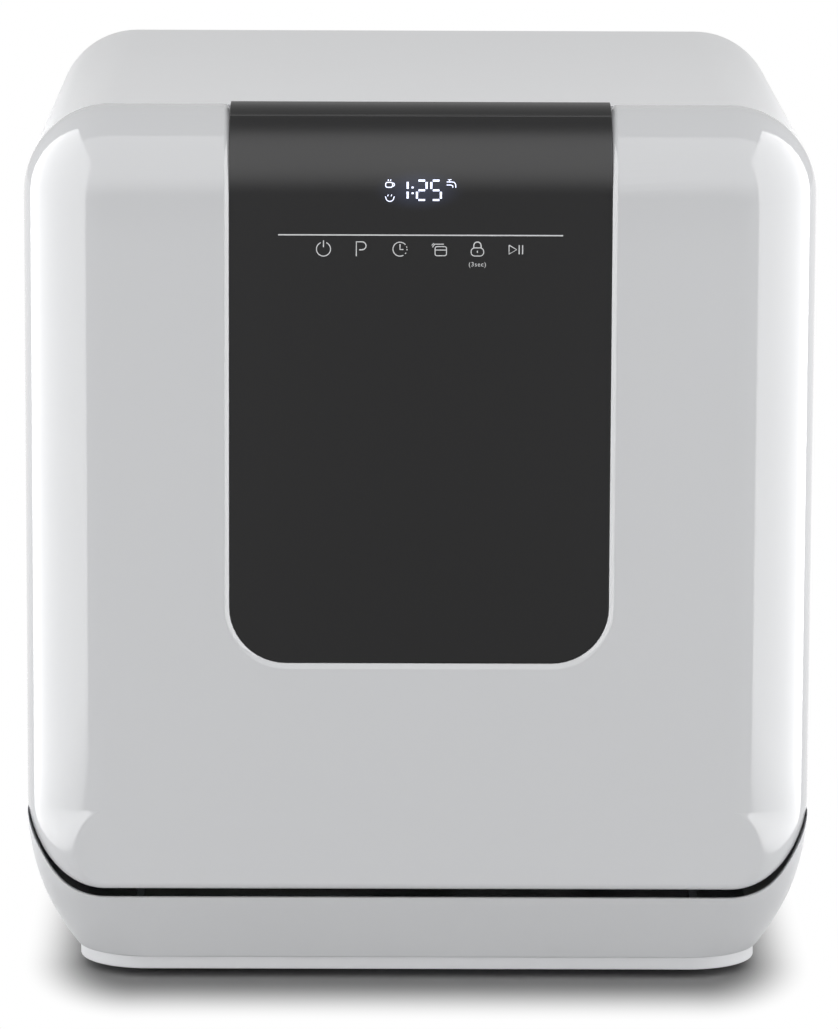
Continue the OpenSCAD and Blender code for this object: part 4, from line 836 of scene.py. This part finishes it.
def make_rack():
    paths = []
    for i in range(FLOOR_WIRES + 1):
        x = -FLOOR_X + 2 * FLOOR_X * i / FLOOR_WIRES
        wire = [(x, RIM_Y0, RIM_Z), (x, FLOOR_Y0, FLOOR_Z), (x, FLOOR_Y1, FLOOR_Z), (x, RIM_Y1, RIM_Z)]
        paths.append(bent(wire, BEND_R))
    for i in range(CROSS_WIRES + 1):
        y = FLOOR_Y0 + i * CROSS_STEP
        wire = [(-RIM_X, y, RIM_Z), (-FLOOR_X, y, CROSS_Z), (FLOOR_X, y, CROSS_Z), (RIM_X, y, RIM_Z)]
        paths.append(bent(wire, BEND_R))
    wires = tubes("rack_wires", paths, WIRE_R)
    r = RIM_BEND_R
    corners = ((RIM_X - r, RIM_Y1 - r, 0), (-RIM_X + r, RIM_Y1 - r, math.pi / 2),
               (-RIM_X + r, RIM_Y0 + r, math.pi), (RIM_X - r, RIM_Y0 + r, 1.5 * math.pi))
    rim = [(cx + r * math.cos(a + t), cy + r * math.sin(a + t), RIM_Z - 0.1)
           for cx, cy, a in corners for t in quarter(6)]
    share = (BAND_Z - FLOOR_Z) / (RIM_Z - FLOOR_Z)
    x, y0, y1 = (a + (b - a) * share for a, b in ((FLOOR_X, RIM_X), (FLOOR_Y0, RIM_Y0), (FLOOR_Y1, RIM_Y1)))
    x, y0, y1 = x + BAND_OUT, y0 - BAND_OUT, y1 + BAND_OUT
    band = bent([(px, py, BAND_Z) for px, py in ((0, y0), (x, y0), (x, y1), (-x, y1), (-x, y0), (-0.1, y0))], BEND_R)
    rack = join(wires, tubes("rack_band", [band], WIRE_R, looped=True),
                tubes("rack_rim", [rim], RIM_R, looped=True, detail=2))
    return place(rack, "rack", wire_coat, ["rack_frame", "rack_walls"], 60)


def make_tines():
    rail_z = FLOOR_Z + TINE_RAIL_UP
    paths = []
    for x in TINE_ROWS:
        paths.append([(x, FLOOR_Y0 + 2, rail_z), (x, FLOOR_Y1 - 2, rail_z)])
        for i in range(1, 2 * CROSS_WIRES):
            y = FLOOR_Y0 + i * CROSS_STEP / 2
            paths.append([(x, y, rail_z), (x + TINE_LEAN, y, FLOOR_Z + TINE_H)])
    return place(tubes("rack_tine_rods", paths, WIRE_R), "rack", wire_coat, ["rack_tines"], 60)


SHELF_X, SHELF_Z, SHELF_W, SHELF_Y0, SHELF_Y1 = -152.0, 262.0, 70.0, -110.0, 120.0


def make_shelf():
    hinge = tubes("shelf_hinge", [[(SHELF_X, SHELF_Y0 - 7, SHELF_Z), (SHELF_X, SHELF_Y1 + 7, SHELF_Z)]], 2.0, detail=2)
    paths = [[(SHELF_X, y, SHELF_Z), (SHELF_X + SHELF_W, y, SHELF_Z)] for y in range(-105, 117, 20)]
    for dx in (SHELF_W / 2, SHELF_W):
        paths.append([(SHELF_X + dx, SHELF_Y0 + 2, SHELF_Z), (SHELF_X + dx, SHELF_Y1 - 2, SHELF_Z)])
    shelf = join(tubes("shelf_wires", paths, WIRE_R), hinge)
    return place(shelf, "shelf", wire_coat, ["cup_shelf"], 60)


make_rack()
make_tines()
make_shelf()

# ---------- finishes of the pieces whose solids are already right ----------

FINISHES = (
    (soft_rubber, ("feet",)),
    (case_white, ("rear_panel",)),
    (zinc, ("rear_screws", "hinge_brackets", "latch_strike", "hinge_ears", "latch_hook")),
    (steel_tub, ("tub",)),
    (grey_rubber, ("tub_gasket",)),
    (bright_steel, ("rack_rails", "flow_heater", "hinge_pins")),
    (dark_plastic, ("sump", "filter_well", "wash_pump", "drain_pump", "cord_gland", "fan_wheel")),
    (filter_steel, ("filter_plate",)),
    (filter_mesh, ("filter_cup",)),
    (pale_plastic, ("air_break_tank", "inlet_valve", "float_dome", "dispenser_lid", "rack_glides")),
    (grey_plastic, ("drain_spigot", "upper_feed_pipe", "lower_spray_arm", "upper_spray_arm", "fan_housing",
                    "dispenser_body", "rack_handle", "shelf_clips", "cutlery_basket")),
    (steel_door, ("door_liner",)),
    (lit_digits, ("display_module",)),
    (circuit_green, ("control_board",)),
    (blue_plastic, ("rinse_cap",)),
)
for finish, held in FINISHES:
    for name in held:
        for slot in nodes[name].material_slots:
            slot.material = finish

# ---------- floor, light and backdrop ----------


class Nodes:
    """Nodes of a floor or world material."""

    def __init__(self, tree):
        self.tree = tree

    def add(self, kind, inputs=(), output=0, **settings):
        made = self.tree.nodes.new(kind)
        for key, value in settings.items():
            setattr(made, key, value)
        for key, value in dict(inputs).items():
            if isinstance(value, bpy.types.NodeSocket):
                self.tree.links.new(value, made.inputs[key])
            else:
                made.inputs[key].default_value = value
        return made.outputs[output] if made.outputs else None

    def maths(self, operation, *values):
        return self.add("ShaderNodeMath", enumerate(values), operation=operation)

    def seen(self):
        """1 for the rays that show the background: from the camera, and by reflection or through glass."""
        rays = self.add("ShaderNodeLightPath").node.outputs
        direct = self.maths("MAXIMUM", rays["Is Camera Ray"], rays["Is Glossy Ray"])
        return self.maths("MAXIMUM", direct, rays["Is Transmission Ray"])


# gain of the dark grey floor near the foot, and the patch that it fills: a painted shadow, on which the real shadow
# also falls
SHADOW_PAINT_GAIN = 0.21
SHADOW_X, SHADOW_Y, SHADOW_SIDE, SHADOW_FRONT = 150.0, 170.0, 63.7, 132.0


def make_floor():
    """White for the camera; round the object's foot, in a patch shaped like its footprint, the floor turns dark grey
    (gain 0.21), a painted shadow that fades out to white and carries the object's real shadow too; light grey for the
    light that it gives.
    """
    bpy.ops.mesh.primitive_plane_add(size=24)
    floor = bpy.context.object
    floor.name = "floor"
    material = bpy.data.materials.new("floor_white")
    material.use_nodes = True
    material.node_tree.nodes.clear()
    n = Nodes(material.node_tree)
    at = n.add("ShaderNodeTexCoord", output=3)
    beyond = []
    for axis, reach, fade in ((0, SHADOW_X, SHADOW_SIDE), (1, SHADOW_Y, SHADOW_FRONT)):
        value = n.maths("ABSOLUTE", n.add("ShaderNodeSeparateXYZ", {0: at}, axis))
        beyond.append(n.maths("DIVIDE", n.maths("MAXIMUM", n.maths("SUBTRACT", value, reach * MM), 0.0), fade * MM))
    away = n.maths("SQRT", n.maths("ADD", n.maths("POWER", beyond[0], 2.0), n.maths("POWER", beyond[1], 2.0)))
    white = n.add("ShaderNodeMapRange", {0: away, 1: 0.37, 2: 1.0, 3: 0.0, 4: 1.0}, interpolation_type="SMOOTHSTEP")
    # near the foot the camera sees a dark grey floor: painted shadow, with the real shadow on it
    painted_shadow = n.add("ShaderNodeBsdfDiffuse", {0: (SHADOW_PAINT_GAIN, SHADOW_PAINT_GAIN, SHADOW_PAINT_GAIN, 1)})
    plain = n.add("ShaderNodeEmission", {0: (1, 1, 1, 1), 1: 1.0})
    shown = n.add("ShaderNodeMixShader", {0: white, 1: painted_shadow, 2: plain})
    lit = n.add("ShaderNodeBsdfDiffuse", {0: (0.7, 0.7, 0.7, 1)})
    n.add("ShaderNodeOutputMaterial", {0: n.add("ShaderNodeMixShader", {0: n.seen(), 1: lit, 2: shown})})
    floor.data.materials.append(material)


def softbox(name, at, aim, width, height, level):
    """A soft lamp for the matt part of a surface; at level 1 it is as bright as white paper."""
    light = bpy.data.lights.new(name, "AREA")
    light.shape = "RECTANGLE"
    light.size, light.size_y = width, height
    light.energy = level * math.pi * width * height
    lamp = bpy.data.objects.new(name, light)
    bpy.context.scene.collection.objects.link(lamp)
    lamp.visible_camera = lamp.visible_glossy = False
    toward = (Vector(aim) - Vector(at)).normalized()
    lamp.matrix_world = Matrix.Translation(at) @ toward.to_track_quat("-Z", "Y").to_matrix().to_4x4()


def reflector(name, rows, level, dim, bright):
    """A glowing card that only gloss shows, from rows of two points; it fades in between two heights."""
    faces = [(2 * i, 2 * i + 1, 2 * i + 3, 2 * i + 2) for i in range(len(rows) - 1)]
    card = shape(name, [point for row in rows for point in row], faces)
    card.visible_camera = card.visible_diffuse = card.visible_shadow = card.visible_transmission = False
    material = bpy.data.materials.new(name)
    material.use_nodes = True
    material.node_tree.nodes.clear()
    n = Nodes(material.node_tree)
    height = n.add("ShaderNodeSeparateXYZ", {0: n.add("ShaderNodeTexCoord", output=3)}, 2)
    share = n.add("ShaderNodeMapRange", {0: height, 1: dim * MM, 2: bright * MM, 3: 0.0, 4: level})
    n.add("ShaderNodeOutputMaterial", {0: n.add("ShaderNodeEmission", {0: (1, 1, 1, 1), 1: share})})
    card.data.materials.append(material)


ROOM_LEVEL = 0.59


def make_world():
    world = bpy.data.worlds.new("white_room")
    bpy.context.scene.world = world
    world.use_nodes = True
    sky = world.node_tree.nodes["Background"]
    sky.inputs["Color"].default_value = (1, 1, 1, 1)
    sky.inputs["Strength"].default_value = ROOM_LEVEL


make_floor()
make_world()
softbox("top_softbox", (0, -0.7, 1.5), (0, -0.45, 0.4), 1.6, 1.4, 0.15)
softbox("front_softbox", (0, -1.9, 0.9), (0, 0, 0.3), 2.0, 1.0, 0.27)
TOP_CARD_HALF, TOP_CARD_ROWS = 800, ((-1380, 250), (-1160, 980), (-315, 1540))
SIDE_CARD_X, SIDE_CARD_TOP = 430, 900
top_rows = [[(x, y, z) for x in (-TOP_CARD_HALF, TOP_CARD_HALF)] for y, z in TOP_CARD_ROWS]
reflector("top_card", top_rows, 4.0, 380, 800)
for side, sign, front in (("left", -1, -700), ("right", 1, -600)):
    softbox(side + "_softbox", (sign * 0.85, -0.36, 0.56), (0, -0.36, 0.5), 1.64, 1.12, 0.76)
    side_rows = [[(sign * SIDE_CARD_X, y, z) for y in (front, 0)] for z in (0, SIDE_CARD_TOP)]
    reflector(side + "_card", side_rows, 9.0, -60, 60)
bpy.context.scene.view_settings.view_transform = "Standard"
